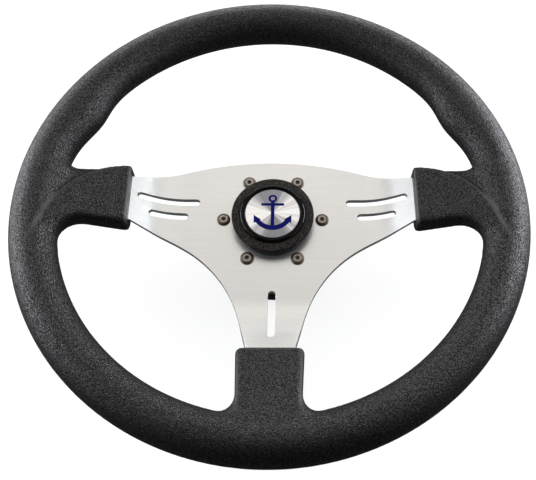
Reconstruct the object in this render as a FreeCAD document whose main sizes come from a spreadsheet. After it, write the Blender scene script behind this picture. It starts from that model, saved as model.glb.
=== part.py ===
import FreeCAD, Part
import math
import os
import Sketcher

# Boat steering wheel with three spokes.
# Frame: X right, Y to twelve o'clock, Z out of the face towards the helmsman.
# The origin is the centre of the hub's back face. Lengths are millimetres, angles are degrees.

drivingSizes = [
    # Rim
    ("rimRadius", 160.0, "circle that the rim's section runs round"),
    ("rimHeight", 24.25, "rim's middle plane above the plate's face"),
    ("rimSection", 15.0, "radius of the rim's round section"),
    ("swellAngle", 28.0, "place of a thumb swell's peak, from three o'clock"),
    ("swellReach", 13.0, "angle from a swell's peak to where it has faded out"),
    ("swellDepth", 5.3, "how far a swell's peak stands in from the rim"),
    ("hoopSection", 5.0, "radius of the hoop's round bar"),
    ("hoopSlotGap", 0.6, "gap beside and behind a tongue in the hoop's slot"),
    ("hoopSlotPlay", 1.8, "room of a tongue, which enters at an angle, across the hoop's slot"),
    # Sockets
    ("mouthReach", 99.0, "distance of the three mouths from the axis"),
    ("socketCover", 6.2, "moulding in front of and behind the plate at a mouth"),
    ("frontMeet", 60.0, "place where a socket's front face meets the rim, on its section"),
    ("backMeet", 21.0, "place where a socket's back face meets the rim, on its section"),
    ("sideLow", 12.3, "near wall of a side socket below the middle"),
    ("sideHigh", 34.1, "far wall of a side socket above the middle, at the mouth"),
    ("sideTaper", 16.7, "turn of the far wall towards the middle"),
    ("crestCurve", 1.0515, "radius of the crest's curve over the socket's size, its length weighted 3 to 1"),
    ("crestInset", 10.2, "distance of the end of the crest's curve inside the rim's circle"),
    ("crestTail", 0.6, "reach of the crest's last straight, as a share of the way to the near wall's end"),
    ("crestTurn", 72.0, "fall of the crest's last straight"),
    ("valleyDrop", 4.0, "depth of the valley between the crest and the rim"),
    ("bottomHalf", 22.0, "half width of the bottom socket at its mouth"),
    ("bottomTaper", 2.7, "turn of the bottom socket's walls towards the middle"),
    ("nearFlare", 20.0, "radius where a side socket's near wall runs into the rim"),
    ("farFlare", 10.0, "radius where a side socket's far wall runs into the rim"),
    ("bottomFlare", 11.5, "radius where the bottom socket's walls run into the rim"),
    ("flareSink", 6.0, "depth inside the rim at which a flare ends"),
    ("socketRound", 4.0, "rounding along a socket's long edges"),
    ("crestRound", 2.0, "rounding along the crest"),
    ("mouthRound", 1.5, "rounding of a mouth's lip"),
    # Spoke plate
    ("plateThick", 4.0, "thickness of the plate"),
    ("centreHole", 18.0, "radius of the plate's centre hole"),
    ("bendStart", 62.0, "distance of the three bends from the axis"),
    ("bendRadius", 52.0, "radius of a bend at the plate's middle"),
    ("bendAngle", 30.0, "rise of an arm after its bend"),
    ("crankStart", 103.0, "distance at which an arm starts to turn back"),
    ("crankRadius", 25.0, "radius of the turn back at the plate's middle"),
    ("tongueInset", 3.0, "distance of a tongue's end inside the hoop's middle line"),
    ("tongueWidth", 16.0, "width of a tongue"),
    ("tongueOffset", 10.0, "middle of a side tongue above the wheel's middle"),
    ("shoulderStart", 108.0, "distance at which an arm narrows to its tongue"),
    ("shoulderEnd", 120.0, "distance at which the tongue has its own width"),
    ("plateCrown", 47.4, "top of the plate above the middle"),
    ("crownRadius", 225.0, "radius of the plate's top edge"),
    ("crownReach", 62.0, "half width of the round part of the top edge"),
    ("crownDrop", 8.7, "fall of the top edge over its round part"),
    ("armHigh", 27.5, "top edge of a side arm at its mouth"),
    ("armLow", 7.0, "bottom edge of a side arm below the middle, at its mouth"),
    ("armSlope", 22.0, "angle of a side arm's bottom edge"),
    ("legHalf", 16.1, "half width of the bottom arm at its mouth"),
    ("legSlope", 76.0, "angle of the bottom arm's edges"),
    ("webRadius", 88.0, "radius between a side arm and the bottom arm"),
    ("blankMargin", 12.0, "margin of the bent sheet outside the outline"),
    ("trimMargin", 24.0, "margin of the trimming outline, wider than the sheet's"),
    # Slots in the arms
    ("slotWidth", 5.2, "width of the slots"),
    ("highSlotY", 13.8, "middle of the upper side slot"),
    ("highSlotStart", 52.4, "inner end of the upper side slot"),
    ("highSlotEnd", 96.3, "outer end of the upper side slot"),
    ("lowSlotY", 2.4, "middle of the lower side slot"),
    ("lowSlotStart", 60.2, "inner end of the lower side slot"),
    ("lowSlotEnd", 88.2, "outer end of the lower side slot"),
    ("legSlotStart", 54.6, "inner end of the bottom slot"),
    ("legSlotEnd", 91.1, "outer end of the bottom slot"),
    # Hub
    ("hubLength", 56.0, "hub from its back face to the plate"),
    ("hubBack", 37.5, "outer radius at the back"),
    ("hubNeck", 41.0, "outer radius under the flange"),
    ("hubFlange", 43.0, "radius of the front flange"),
    ("flangeThick", 8.0, "thickness of the front flange"),
    ("flangeChamfer", 0.8, "chamfer of the flange's edges"),
    ("bossRadius", 18.0, "radius of the boss round the shaft"),
    ("skirtInside", 31.5, "inner radius of the skirt round the boss"),
    ("skirtDepth", 25.0, "depth of the ring recess behind"),
    ("nutRecess", 18.5, "radius of the recess for the shaft's nut"),
    ("nutDepth", 20.0, "depth of the recess for the shaft's nut"),
    ("shaftBore", 9.525, "radius of the tapered bore at the back"),
    ("boreTaper", 12.0, "length over which the bore's diameter falls by one"),
    ("keyWidth", 4.76, "width of the keyway"),
    ("keyDepth", 2.4, "depth of the keyway in the bore's wall"),
    # Screws
    ("screwCircle", 35.0, "radius of the circle that the screws stand on"),
    ("screwCount", 6, "number of screws"),
    ("screwThread", 2.5, "radius of a screw's thread"),
    ("screwLength", 16.0, "length of a screw under its head"),
    ("screwHead", 4.75, "radius of a screw's head"),
    ("headHeight", 2.75, "height of a screw's head"),
    ("headRim", 0.45, "straight rim of a screw's head"),
    ("headDome", 5.6, "radius of a screw head's dome"),
    ("chamferThread", 0.6, "chamfer of a screw's end"),
    ("hexAcross", 3.0, "hexagon socket across its flats"),
    ("hexDepth", 1.6, "depth of the hexagon socket"),
    ("headFlat", 2.25, "radius of the flat round the hexagon socket"),
    ("threadGap", 0.1, "gap round a thread in the hub"),
    ("screwPassage", 0.25, "gap round a thread in the plate"),
    ("tapRunout", 2.0, "depth of a tapped hole past its screw"),
    # Cap
    ("capRadius", 28.2, "radius of the cap's collar"),
    ("collarHeight", 6.2, "height of the collar"),
    ("capSkin", 2.2, "wall of the cap"),
    ("spigotLength", 9.0, "length of the spigot behind the plate's face"),
    ("spigotGap", 0.3, "gap round the spigot"),
    ("ringRadius", 28.9, "outer radius of the cap's ring"),
    ("ringEdge", 2.5, "height of the ring at its outer edge"),
    ("ringRise", 0.8, "rise of the ring towards the bezel"),
    ("bezelOutside", 23.0, "outer radius of the bezel"),
    ("bezelInside", 19.4, "inner radius of the bezel"),
    ("bezelSeat", 8.6, "seat of the bezel and the disc above the plate"),
    ("bezelWall", 0.9, "straight wall of the bezel below its bead"),
    ("bezelTop", 10.8, "top of the bezel above the plate"),
    ("discEdge", 1.4, "thickness of the disc at its edge"),
    ("discDome", 0.5, "height of the disc's dome"),
    ("beadRadius", 2.2, "radius of the bezel's round top"),
    ("capChamfer", 0.6, "chamfer of the cap's edges"),
    ("capGap", 0.1, "gap between the cap's pieces"),
]

doc = FreeCAD.newDocument("SteeringWheel")
sheet = doc.addObject("Spreadsheet::Sheet", "Sizes")
for row, (alias, number, meaning) in enumerate(drivingSizes, start=1):
    sheet.set(f"A{row}", meaning)
    sheet.set(f"B{row}", str(number))
    sheet.setAlias(f"B{row}", alias)
doc.recompute()

vector = FreeCAD.Vector
# A sketch's own origin point, as constraints name it
sketchOrigin = (-1, 1)
# Sections on either side of a swell's peak, the last of them plain again
swellSteps = 4
hexCorners = 6
tiny = 0.001


def worth(formula):
    """Number that a formula on the sheet's sizes has now."""
    return float(sheet.evalExpression(formula))


def sheetNames(formula):
    """Formula with each size written as a cell of the sheet."""
    for alias, _, _ in sorted(drivingSizes, key=lambda entry: -len(entry[0])):
        formula = formula.replace("@" + alias, "Sizes." + alias)
    return formula


def bind(thing, path, formula):
    thing.setExpression(path, sheetNames(formula))


def dimension(sketch, formula, kind, *place):
    """Adds a driving constraint and binds it to the sheet."""
    number = worth(sheetNames(formula))
    if kind == "Angle":
        number = math.radians(number)
    index = sketch.addConstraint(Sketcher.Constraint(kind, *place, number))
    bind(sketch, f"Constraints[{index}]", formula)


def pin(sketch, point, formulaX, formulaY):
    dimension(sketch, formulaX, "DistanceX", *sketchOrigin, *point)
    dimension(sketch, formulaY, "DistanceY", *sketchOrigin, *point)


def newBody(name):
    return doc.addObject("PartDesign::Body", name)


def newSketch(body, name, plane, height=None):
    """Sketch on one of the body's own origin planes, or at a height above it."""
    sketch = body.newObject("Sketcher::SketchObject", name)
    support = next(item for item in body.Origin.OriginFeatures if item.Role == plane)
    sketch.AttachmentSupport = (support, "")
    sketch.MapMode = "FlatFace"
    if height:
        bind(sketch, "AttachmentOffset.Base.z", height)
    return sketch


def arcBetween(start, end, radius, left):
    """Arc shorter than half a turn from start to end, its centre to the left or to the right."""
    chord = end - start
    middle = (start + end) * 0.5
    normal = vector(-chord.y, chord.x, 0).normalize()
    rise = math.sqrt(max(radius ** 2 - (chord.Length / 2) ** 2, 0.0))
    centre = middle + normal * (rise if left else -rise)
    first, last = (start, end) if left else (end, start)
    startAngle = math.atan2(first.y - centre.y, first.x - centre.x)
    endAngle = math.atan2(last.y - centre.y, last.x - centre.x)
    circle = Part.Circle(centre, vector(0, 0, 1), radius)
    return Part.ArcOfCircle(circle, startAngle, endAngle)


def outline(sketch, corners, arcs=None):
    """Closed outline through corners given as formulas.

    arcs gives, for the side that starts at a corner, its radius and whether its centre lies left.
    """
    arcs = arcs or {}
    points = [vector(worth(sheetNames(x)), worth(sheetNames(y)), 0) for x, y in corners]
    ends = []
    for index, start in enumerate(points):
        end = points[(index + 1) % len(points)]
        if index in arcs:
            radius, left = arcs[index]
            side = sketch.addGeometry(arcBetween(start, end, worth(sheetNames(radius)), left))
            dimension(sketch, radius, "Radius", side)
            ends.append(((side, 1), (side, 2)) if left else ((side, 2), (side, 1)))
        else:
            side = sketch.addGeometry(Part.LineSegment(start, end))
            ends.append(((side, 1), (side, 2)))
    for index, corner in enumerate(corners):
        sketch.addConstraint(Sketcher.Constraint("Coincident", *ends[index - 1][1], *ends[index][0]))
        pin(sketch, ends[index][0], *corner)


def circle(sketch, formulaX, formulaY, radius):
    centre = vector(worth(sheetNames(formulaX)), worth(sheetNames(formulaY)), 0)
    disc = sketch.addGeometry(Part.Circle(centre, vector(0, 0, 1), worth(sheetNames(radius))))
    pin(sketch, (disc, 3), formulaX, formulaY)
    dimension(sketch, radius, "Radius", disc)


def slot(sketch, start, end, across, alongX=True):
    """Slot with round ends; start and end are its tips."""
    half = "@slotWidth / 2"
    radius = worth(sheetNames(half))
    inner, outer = f"{start} + {half}", f"{end} - {half}"
    centres = [(inner, across), (outer, across)] if alongX else [(across, inner), (across, outer)]
    first, last = (vector(worth(sheetNames(x)), worth(sheetNames(y)), 0) for x, y in centres)
    along = (last - first).normalize()
    side = vector(-along.y, along.x, 0) * radius
    near = sketch.addGeometry(Part.LineSegment(first - side, last - side))
    tip = sketch.addGeometry(arcBetween(last - side, last + side, radius, True))
    far = sketch.addGeometry(Part.LineSegment(last + side, first + side))
    root = sketch.addGeometry(arcBetween(first + side, first - side, radius, True))
    for one, next_ in ((near, tip), (tip, far), (far, root), (root, near)):
        sketch.addConstraint(Sketcher.Constraint("Tangent", one, 2, next_, 1))
    for arc, centre in ((root, centres[0]), (tip, centres[1])):
        pin(sketch, (arc, 3), *centre)
        dimension(sketch, half, "Radius", arc)


def revolve(body, name, corners, arcs=None):
    """Ring or disc turned round the wheel's axis from a section in radius and height."""
    sketch = newSketch(body, name + "Section", "XZ_Plane")
    outline(sketch, corners, arcs)
    turned = body.newObject("PartDesign::Revolution", name)
    turned.Profile = sketch
    turned.ReferenceAxis = (sketch, ["V_Axis"])
    turned.Angle = 360
    return turned


def pocket(body, name, sketch, depth=None, upwards=False):
    """Pocket of a depth, or through the whole body."""
    cut = body.newObject("PartDesign::Pocket", name)
    cut.Profile = sketch
    cut.Reversed = upwards
    if depth:
        bind(cut, "Length", depth)
    else:
        cut.Type = "ThroughAll"
        cut.Midplane = True
    return cut


def roundPattern(body, name, features, sketch, count):
    pattern = body.newObject("PartDesign::PolarPattern", name)
    pattern.Originals = features
    pattern.Axis = (sketch, ["N_Axis"])
    pattern.Angle = 360
    bind(pattern, "Occurrences", count)
    body.Tip = pattern
    return pattern


def mirrorLeft(body, name, features, sketch):
    """Repeats features of the right side on the left side."""
    mirrored = body.newObject("PartDesign::Mirrored", name)
    mirrored.Originals = features
    mirrored.MirrorPlane = (sketch, ["V_Axis"])
    body.Tip = mirrored
    return mirrored


def edgesWhere(shape, test):
    return [f"Edge{n}" for n, edge in enumerate(shape.Edges, start=1) if test(edge)]


def roundEdges(body, name, base, test, radius):
    rounding = body.newObject("PartDesign::Fillet", name)
    rounding.Base = (base, edgesWhere(base.Shape, test))
    bind(rounding, "Radius", radius)
    body.Tip = rounding
    doc.recompute()
    return rounding


# Heights that several pieces share
plateFace = "(@hubLength + @plateThick)"
rimPlane = f"({plateFace} + @rimHeight)"
tongueReach = "(@rimRadius - @tongueInset)"


def buildHub():
    body = newBody("Hub")
    boreFront = "@shaftBore - (@hubLength - @nutDepth) / @boreTaper / 2"
    corners = [
        ("@shaftBore", "0"),
        ("@bossRadius", "0"),
        ("@bossRadius", "@skirtDepth"),
        ("@skirtInside", "@skirtDepth"),
        ("@skirtInside", "0"),
        ("@hubBack", "0"),
        ("@hubNeck", "@hubLength - @flangeThick"),
        ("@hubFlange - @flangeChamfer", "@hubLength - @flangeThick"),
        ("@hubFlange", "@hubLength - @flangeThick + @flangeChamfer"),
        ("@hubFlange", "@hubLength - @flangeChamfer"),
        ("@hubFlange - @flangeChamfer", "@hubLength"),
        ("@nutRecess", "@hubLength"),
        ("@nutRecess", "@hubLength - @nutDepth"),
        (boreFront, "@hubLength - @nutDepth"),
    ]
    revolve(body, "HubTurning", corners)
    keySketch = newSketch(body, "KeySketch", "XY_Plane")
    keyTop = "@shaftBore + @keyDepth"
    left, right = "-@keyWidth / 2", "@keyWidth / 2"
    outline(keySketch, [(left, "0"), (right, "0"), (right, keyTop), (left, keyTop)])
    pocket(body, "Keyway", keySketch, "@hubLength - @nutDepth", upwards=True)
    holeSketch = newSketch(body, "TappedHoleSketch", "XY_Plane", "@hubLength")
    circle(holeSketch, "@screwCircle", "0", "@screwThread + @threadGap")
    hole = pocket(body, "TappedHole", holeSketch, "@screwLength - @plateThick + @tapRunout")
    roundPattern(body, "TappedHoles", [hole], holeSketch, "@screwCount")
    return body


def sheetPath(body, name, plane, turn=None):
    """Middle line of an arm from the axis out to the hoop: flat, bend, rise, turn back, tongue."""
    sketch = newSketch(body, name, plane)
    if turn:
        sketch.AttachmentOffset = turn
    middle = "@hubLength + @plateThick / 2"
    bend = math.radians(worth("Sizes.bendAngle"))
    bendStart = worth("Sizes.bendStart")
    bendRadius = worth("Sizes.bendRadius")
    crankStart = worth("Sizes.crankStart")
    crankRadius = worth("Sizes.crankRadius")
    reach = worth(sheetNames(tongueReach))
    base = worth(sheetNames(middle))
    bendOut = bendStart + bendRadius * math.sin(bend)
    bendUp = base + bendRadius * (1 - math.cos(bend))
    crankUp = bendUp + (crankStart - bendOut) * math.tan(bend)
    target = worth(sheetNames(rimPlane))

    def crankEnd(angle):
        out = crankStart + crankRadius * (math.sin(bend) - math.sin(angle))
        up = crankUp + crankRadius * (math.cos(angle) - math.cos(bend))
        return out, up

    # The tongue's angle is where its end meets the rim's middle plane
    low, high = -bend, bend
    for _ in range(60):
        angle = (low + high) / 2
        out, up = crankEnd(angle)
        if up + (reach - out) * math.tan(angle) > target:
            high = angle
        else:
            low = angle
    out, up = crankEnd(angle)
    stops = [vector(0, base, 0), vector(bendStart, base, 0), vector(bendOut, bendUp, 0),
             vector(crankStart, crankUp, 0), vector(out, up, 0), vector(reach, target, 0)]
    flat = sketch.addGeometry(Part.LineSegment(stops[0], stops[1]))
    bendArc = sketch.addGeometry(arcBetween(stops[1], stops[2], bendRadius, True))
    rise = sketch.addGeometry(Part.LineSegment(stops[2], stops[3]))
    crankArc = sketch.addGeometry(arcBetween(stops[3], stops[4], crankRadius, False))
    tongue = sketch.addGeometry(Part.LineSegment(stops[4], stops[5]))
    for first, second in (((flat, 2), (bendArc, 1)), ((bendArc, 2), (rise, 1)),
                          ((rise, 2), (crankArc, 2)), ((crankArc, 1), (tongue, 1))):
        sketch.addConstraint(Sketcher.Constraint("Tangent", *first, *second))
    sketch.addConstraint(Sketcher.Constraint("Horizontal", flat))
    pin(sketch, (flat, 1), "0", middle)
    dimension(sketch, "@bendStart", "DistanceX", *sketchOrigin, flat, 2)
    dimension(sketch, "@bendRadius", "Radius", bendArc)
    dimension(sketch, "@bendAngle", "Angle", rise)
    dimension(sketch, "@crankStart", "DistanceX", *sketchOrigin, rise, 2)
    dimension(sketch, "@crankRadius", "Radius", crankArc)
    pin(sketch, (tongue, 2), tongueReach, rimPlane)
    return sketch


def bentSheet(body, name, plane, crossPlane, low, high, turn=None):
    """Sheet of the plate's thickness along an arm's middle line."""
    section = newSketch(body, name + "Section", crossPlane)
    outline(section, [(low, "@hubLength"), (high, "@hubLength"), (high, plateFace), (low, plateFace)])
    path = sheetPath(body, name + "Path", plane, turn)
    sweep = body.newObject("PartDesign::AdditivePipe", name)
    sweep.Profile = section
    sweep.Spine = (path, [f"Edge{n}" for n in range(1, 6)])
    doc.recompute()
    return sweep


def plateTrim(sketch):
    """Everything outside the right half of the plate's outline."""
    frame = f"{tongueReach} + @blankMargin"
    armRun = "(@mouthReach - @crownReach)"
    armFall = "(@plateCrown - @crownDrop - @armHigh)"
    shoulderHigh = f"@armHigh - (@shoulderStart - @mouthReach) * {armFall} / {armRun}"
    tongueHigh = "@tongueOffset + @tongueWidth / 2"
    tongueLow = "@tongueOffset - @tongueWidth / 2"
    # Corner where the side arm's edge and the bottom arm's edge would meet
    armTan, legTan = "tan(@armSlope)", "tan(@legSlope)"
    cornerRise = f"(@mouthReach * ({armTan} - 1) + @armLow - @legHalf * {legTan})"
    cornerX = f"({cornerRise} / ({armTan} - {legTan}))"
    cornerY = f"({cornerX} * {armTan} - @mouthReach * {armTan} - @armLow)"
    tangent = "(@webRadius * tan((@legSlope - @armSlope) / 2))"
    webArm = (f"{cornerX} + {tangent} * cos(@armSlope)", f"{cornerY} + {tangent} * sin(@armSlope)")
    webLeg = (f"{cornerX} - {tangent} * cos(@legSlope)", f"{cornerY} - {tangent} * sin(@legSlope)")
    corners = [
        ("0", "@plateCrown"),
        ("@crownReach", "@plateCrown - @crownDrop"),
        ("@shoulderStart", shoulderHigh),
        ("@shoulderEnd", tongueHigh),
        (frame, tongueHigh),
        (frame, tongueLow),
        ("@shoulderEnd", tongueLow),
        ("@shoulderStart", "-@armLow"),
        ("@mouthReach", "-@armLow"),
        webArm,
        webLeg,
        ("@legHalf", "-@mouthReach"),
        ("@legHalf", "-@shoulderStart"),
        ("@tongueWidth / 2", "-@shoulderEnd"),
        ("@tongueWidth / 2", f"-({frame})"),
        (f"{tongueReach} + @trimMargin", f"-({frame})"),
        (f"{tongueReach} + @trimMargin", "@plateCrown + @trimMargin"),
        ("0", "@plateCrown + @trimMargin"),
    ]
    outline(sketch, corners, {0: ("@crownRadius", False), 9: ("@webRadius", True)})


def buildSpokePlate():
    body = newBody("SpokePlate")
    sides = bentSheet(body, "SideSheet", "XZ_Plane", "YZ_Plane", "-@bendStart", "@plateCrown + @blankMargin")
    mirrorSketch = newSketch(body, "MirrorSketch", "XY_Plane")
    circle(mirrorSketch, "0", "0", "@centreHole")
    bothSides = mirrorLeft(body, "BothSides", [sides], mirrorSketch)
    downwards = FreeCAD.Placement(vector(0, 0, 0), FreeCAD.Rotation(vector(0, 1, 0), 180))
    half = "@legHalf + @blankMargin"
    bentSheet(body, "BottomSheet", "YZ_Plane", "XZ_Plane", f"-({half})", half, downwards)
    trimSketch = newSketch(body, "TrimSketch", "XY_Plane")
    plateTrim(trimSketch)
    trim = pocket(body, "Trim", trimSketch)
    mirrorLeft(body, "BothTrims", [trim], trimSketch)
    pocket(body, "CentreHole", mirrorSketch)
    slotSketch = newSketch(body, "SlotSketch", "XY_Plane")
    slot(slotSketch, "@highSlotStart", "@highSlotEnd", "@highSlotY")
    slot(slotSketch, "@lowSlotStart", "@lowSlotEnd", "@lowSlotY")
    slots = pocket(body, "SideSlots", slotSketch)
    mirrorLeft(body, "BothSideSlots", [slots], slotSketch)
    legSketch = newSketch(body, "LegSlotSketch", "XY_Plane")
    slot(legSketch, "-@legSlotEnd", "-@legSlotStart", "0", alongX=False)
    pocket(body, "LegSlot", legSketch)
    screwSketch = newSketch(body, "PassageSketch", "XY_Plane")
    circle(screwSketch, "@screwCircle", "0", "@screwThread + @screwPassage")
    passage = pocket(body, "ScrewPassage", screwSketch)
    roundPattern(body, "ScrewPassages", [passage], screwSketch, "@screwCount")
    return body


def buildHubScrews():
    body = newBody("HubScrews")
    body.AllowCompound = True
    sketch = newSketch(body, "ScrewSection", "XZ_Plane")
    axisX, under = "@screwCircle", plateFace
    stem = f"({axisX} + @screwThread)"
    rim = f"({axisX} + @screwHead)"
    flat = f"({axisX} + @headFlat)"
    corners = [
        (axisX, f"{under} - @screwLength"),
        (f"{stem} - @chamferThread", f"{under} - @screwLength"),
        (stem, f"{under} - @screwLength + @chamferThread"),
        (stem, under),
        (rim, under),
        (rim, f"{under} + @headRim"),
        (flat, f"{under} + @headHeight"),
        (axisX, f"{under} + @headHeight"),
    ]
    outline(sketch, corners, {5: ("@headDome", True)})
    axis = sketch.addGeometry(Part.LineSegment(vector(worth("Sizes.screwCircle"), 0, 0),
                                               vector(worth("Sizes.screwCircle"), 10, 0)), True)
    sketch.addConstraint(Sketcher.Constraint("Vertical", axis))
    pin(sketch, (axis, 1), axisX, "0")
    dimension(sketch, "@hubLength", "DistanceY", *sketchOrigin, axis, 2)
    turned = body.newObject("PartDesign::Revolution", "ScrewTurning")
    turned.Profile = sketch
    turned.ReferenceAxis = (sketch, ["Axis0"])
    turned.Angle = 360
    hexSketch = newSketch(body, "HexSketch", "XY_Plane", f"{under} + @headHeight")
    corner = "@hexAcross / 2 / cos(30)"
    turns = [f"(360 * {n} / {hexCorners})" for n in range(hexCorners)]
    hexagon = [(f"{axisX} + {corner} * cos({turn})", f"{corner} * sin({turn})") for turn in turns]
    outline(hexSketch, hexagon)
    hexSocket = pocket(body, "HexSocket", hexSketch, "@hexDepth")
    roundPattern(body, "ScrewSet", [turned, hexSocket], hexSketch, "@screwCount")
    return body


def buildCapBase():
    body = newBody("CapBase")
    spigot = "(@centreHole - @spigotGap)"
    collarTop = f"({plateFace} + @collarHeight)"
    seat = f"({plateFace} + @bezelSeat)"
    corners = [
        (f"{spigot} - @capSkin", f"{plateFace} - @spigotLength"),
        (f"{spigot} - @capChamfer", f"{plateFace} - @spigotLength"),
        (spigot, f"{plateFace} - @spigotLength + @capChamfer"),
        (spigot, plateFace),
        ("@capRadius", plateFace),
        ("@capRadius", collarTop),
        ("@bezelOutside - @capGap", collarTop),
        ("@bezelOutside - @capGap", seat),
        ("0", seat),
        ("0", f"{seat} - @capSkin"),
        (f"{spigot} - @capSkin", f"{seat} - @capSkin"),
    ]
    revolve(body, "CapBaseTurning", corners)
    return body


def buildCapRing():
    body = newBody("CapRing")
    low = f"({plateFace} + @collarHeight)"
    corners = [
        ("@bezelOutside", low),
        ("@ringRadius", low),
        ("@ringRadius", f"{low} + @ringEdge - @capChamfer"),
        ("@ringRadius - @capChamfer", f"{low} + @ringEdge"),
        ("@bezelOutside + @capGap", f"{low} + @ringEdge + @ringRise"),
        ("@bezelOutside", f"{low} + @ringEdge + @ringRise"),
    ]
    revolve(body, "CapRingTurning", corners)
    return body


def buildCapBezel():
    body = newBody("CapBezel")
    seat = f"({plateFace} + @bezelSeat)"
    bead = f"{seat} + @bezelWall"
    middle = "(@bezelOutside + @bezelInside) / 2"
    corners = [
        ("@bezelInside", seat),
        ("@bezelOutside - @capGap", seat),
        ("@bezelOutside - @capGap", bead),
        (middle, f"{plateFace} + @bezelTop"),
        ("@bezelInside", bead),
    ]
    arcs = {2: ("@beadRadius", True), 3: ("@beadRadius", True)}
    revolve(body, "CapBezelTurning", corners, arcs)
    return body


def buildEmblemDisc():
    body = newBody("EmblemDisc")
    seat = f"({plateFace} + @bezelSeat)"
    radius = "(@bezelInside - @capGap)"
    domeRadius = f"(({radius} ^ 2 + @discDome ^ 2) / 2 / @discDome)"
    corners = [
        ("0", seat),
        (radius, seat),
        (radius, f"{seat} + @discEdge"),
        ("0", f"{seat} + @discEdge + @discDome"),
    ]
    revolve(body, "EmblemDiscTurning", corners, {2: (domeRadius, True)})
    return body


def buildRimHoop():
    body = newBody("RimHoop")
    sketch = newSketch(body, "HoopSection", "XZ_Plane")
    circle(sketch, "@rimRadius", rimPlane, "@hoopSection")
    turned = body.newObject("PartDesign::Revolution", "HoopTurning")
    turned.Profile = sketch
    turned.ReferenceAxis = (sketch, ["V_Axis"])
    turned.Angle = 360
    slotTall = "(@plateThick + @hoopSlotPlay)"
    slotSketch = newSketch(body, "HoopSlotSketch", "XY_Plane", f"{rimPlane} - {slotTall} / 2")
    inside = "(@rimRadius - @hoopSection - @blankMargin)"
    outside = f"({tongueReach} + @hoopSlotGap)"
    half = "(@tongueWidth / 2 + @hoopSlotGap)"

    def slotBox(left, right, low, high):
        outline(slotSketch, [(left, low), (right, low), (right, high), (left, high)])

    slotBox(inside, outside, f"@tongueOffset - {half}", f"@tongueOffset + {half}")
    slotBox(f"-{outside}", f"-{inside}", f"@tongueOffset - {half}", f"@tongueOffset + {half}")
    slotBox(f"-{half}", half, f"-{outside}", f"-{inside}")
    pocket(body, "HoopSlots", slotSketch, slotTall, upwards=True)
    return body


mouthFace = "(@hubLength + @plateThick / 2 + @bendRadius * (1 - cos(@bendAngle))" \
            " + (@mouthReach - @bendStart - @bendRadius * sin(@bendAngle)) * tan(@bendAngle))"
halfCover = "(@plateThick / 2 / cos(@bendAngle) + @socketCover)"
seatRadius = "(@rimRadius - @rimSection + @flareSink)"
keyRadius = "(@rimRadius - @rimSection / 2)"
socketLength = "(@rimRadius - @mouthReach)"


def flare(wallReach, turn, radius, side):
    """Corners where a wall at wallReach from the middle meets its flare, the flare the rim, and the key.

    The wall turns towards the middle by turn. side is 1 for the wall on the +Y side, -1 for the other.
    """
    sign = "" if side > 0 else "-"
    away = f"({wallReach} + @mouthReach * tan({turn})) * cos({turn}) + {radius}"
    along = f"sqrt(({seatRadius} - {radius}) ^ 2 - ({away}) ^ 2)"
    centreX = f"(({away}) * sin({turn}) + {along} * cos({turn}))"
    centreY = f"(({away}) * cos({turn}) - {along} * sin({turn}))"
    wallEnd = (f"{centreX} - {radius} * sin({turn})", f"{sign}({centreY} - {radius} * cos({turn}))")
    grow = f"{seatRadius} / ({seatRadius} - {radius})"
    flareEnd = (f"{centreX} * {grow}", f"{sign}{centreY} * {grow}")
    growKey = f"{keyRadius} / ({seatRadius} - {radius})"
    keyEnd = (f"{centreX} * {growKey}", f"{sign}{centreY} * {growKey}")
    return wallEnd, flareEnd, keyEnd


def meetRun(face, angle, sense):
    """Rise per run of a face that starts at the mouth and meets the rim's section at an angle."""
    rise = f"({rimPlane} {sense} @rimSection * sin({angle}) - {face})"
    run = f"(@rimRadius - @rimSection * cos({angle}) - @mouthReach)"
    return f"{rise} / {run}"


def wedge(name, corners, arcs, drop, rounds):
    """Plan of a socket between its front face, lowered by drop, and its back face, right side.

    rounds has, for each rounding, its radius and the corners of the plan that it runs along.
    """
    body = newBody(name)
    planSketch = newSketch(body, name + "Plan", "XY_Plane")
    outline(planSketch, corners, arcs)
    plan = body.newObject("PartDesign::Pad", name + "Pad")
    plan.Profile = planSketch
    bind(plan, "Length", f"{rimPlane} + @rimSection")
    sideSketch = newSketch(body, name + "Side", "XZ_Plane")
    front, back = f"({mouthFace} + {halfCover})", f"({mouthFace} - {halfCover})"
    frontAtRim = f"{front} + {socketLength} * {meetRun(front, '@frontMeet', '+')} - {drop}"
    backAtRim = f"{back} + {socketLength} * {meetRun(back, '@backMeet', '-')}"
    top = f"({rimPlane} + @rimSection + @blankMargin)"
    outline(sideSketch, [("@mouthReach", f"{front} - {drop}"), ("@rimRadius", frontAtRim),
                         ("@rimRadius", top), ("@mouthReach", top)])
    outline(sideSketch, [("@mouthReach", "-@plateThick"), ("@rimRadius", "-@plateThick"),
                         ("@rimRadius", backAtRim), ("@mouthReach", back)])
    last = pocket(body, name + "Faces", sideSketch)
    doc.recompute()
    for number, (radius, path) in enumerate(rounds, start=1):
        stops = [vector(worth(sheetNames(x)), worth(sheetNames(y)), 0) for x, y in path]

        def stopAt(point):
            return next((n for n, stop in enumerate(stops)
                         if math.hypot(point.x - stop.x, point.y - stop.y) < tiny), None)

        def isOnPath(edge):
            found = {stopAt(corner.Point) for corner in edge.Vertexes}
            return len(found) == 2 and None not in found

        last = roundEdges(body, f"{name}Round{number}", last, isOnPath, radius)
    return body


def addLip(body):
    mouth = worth("Sizes.mouthReach")

    def isMouthEdge(edge):
        return all(abs(corner.Point.x - mouth) < tiny for corner in edge.Vertexes)

    roundEdges(body, body.Name + "Lip", body.Tip, isMouthEdge, "@mouthRound")


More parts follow.
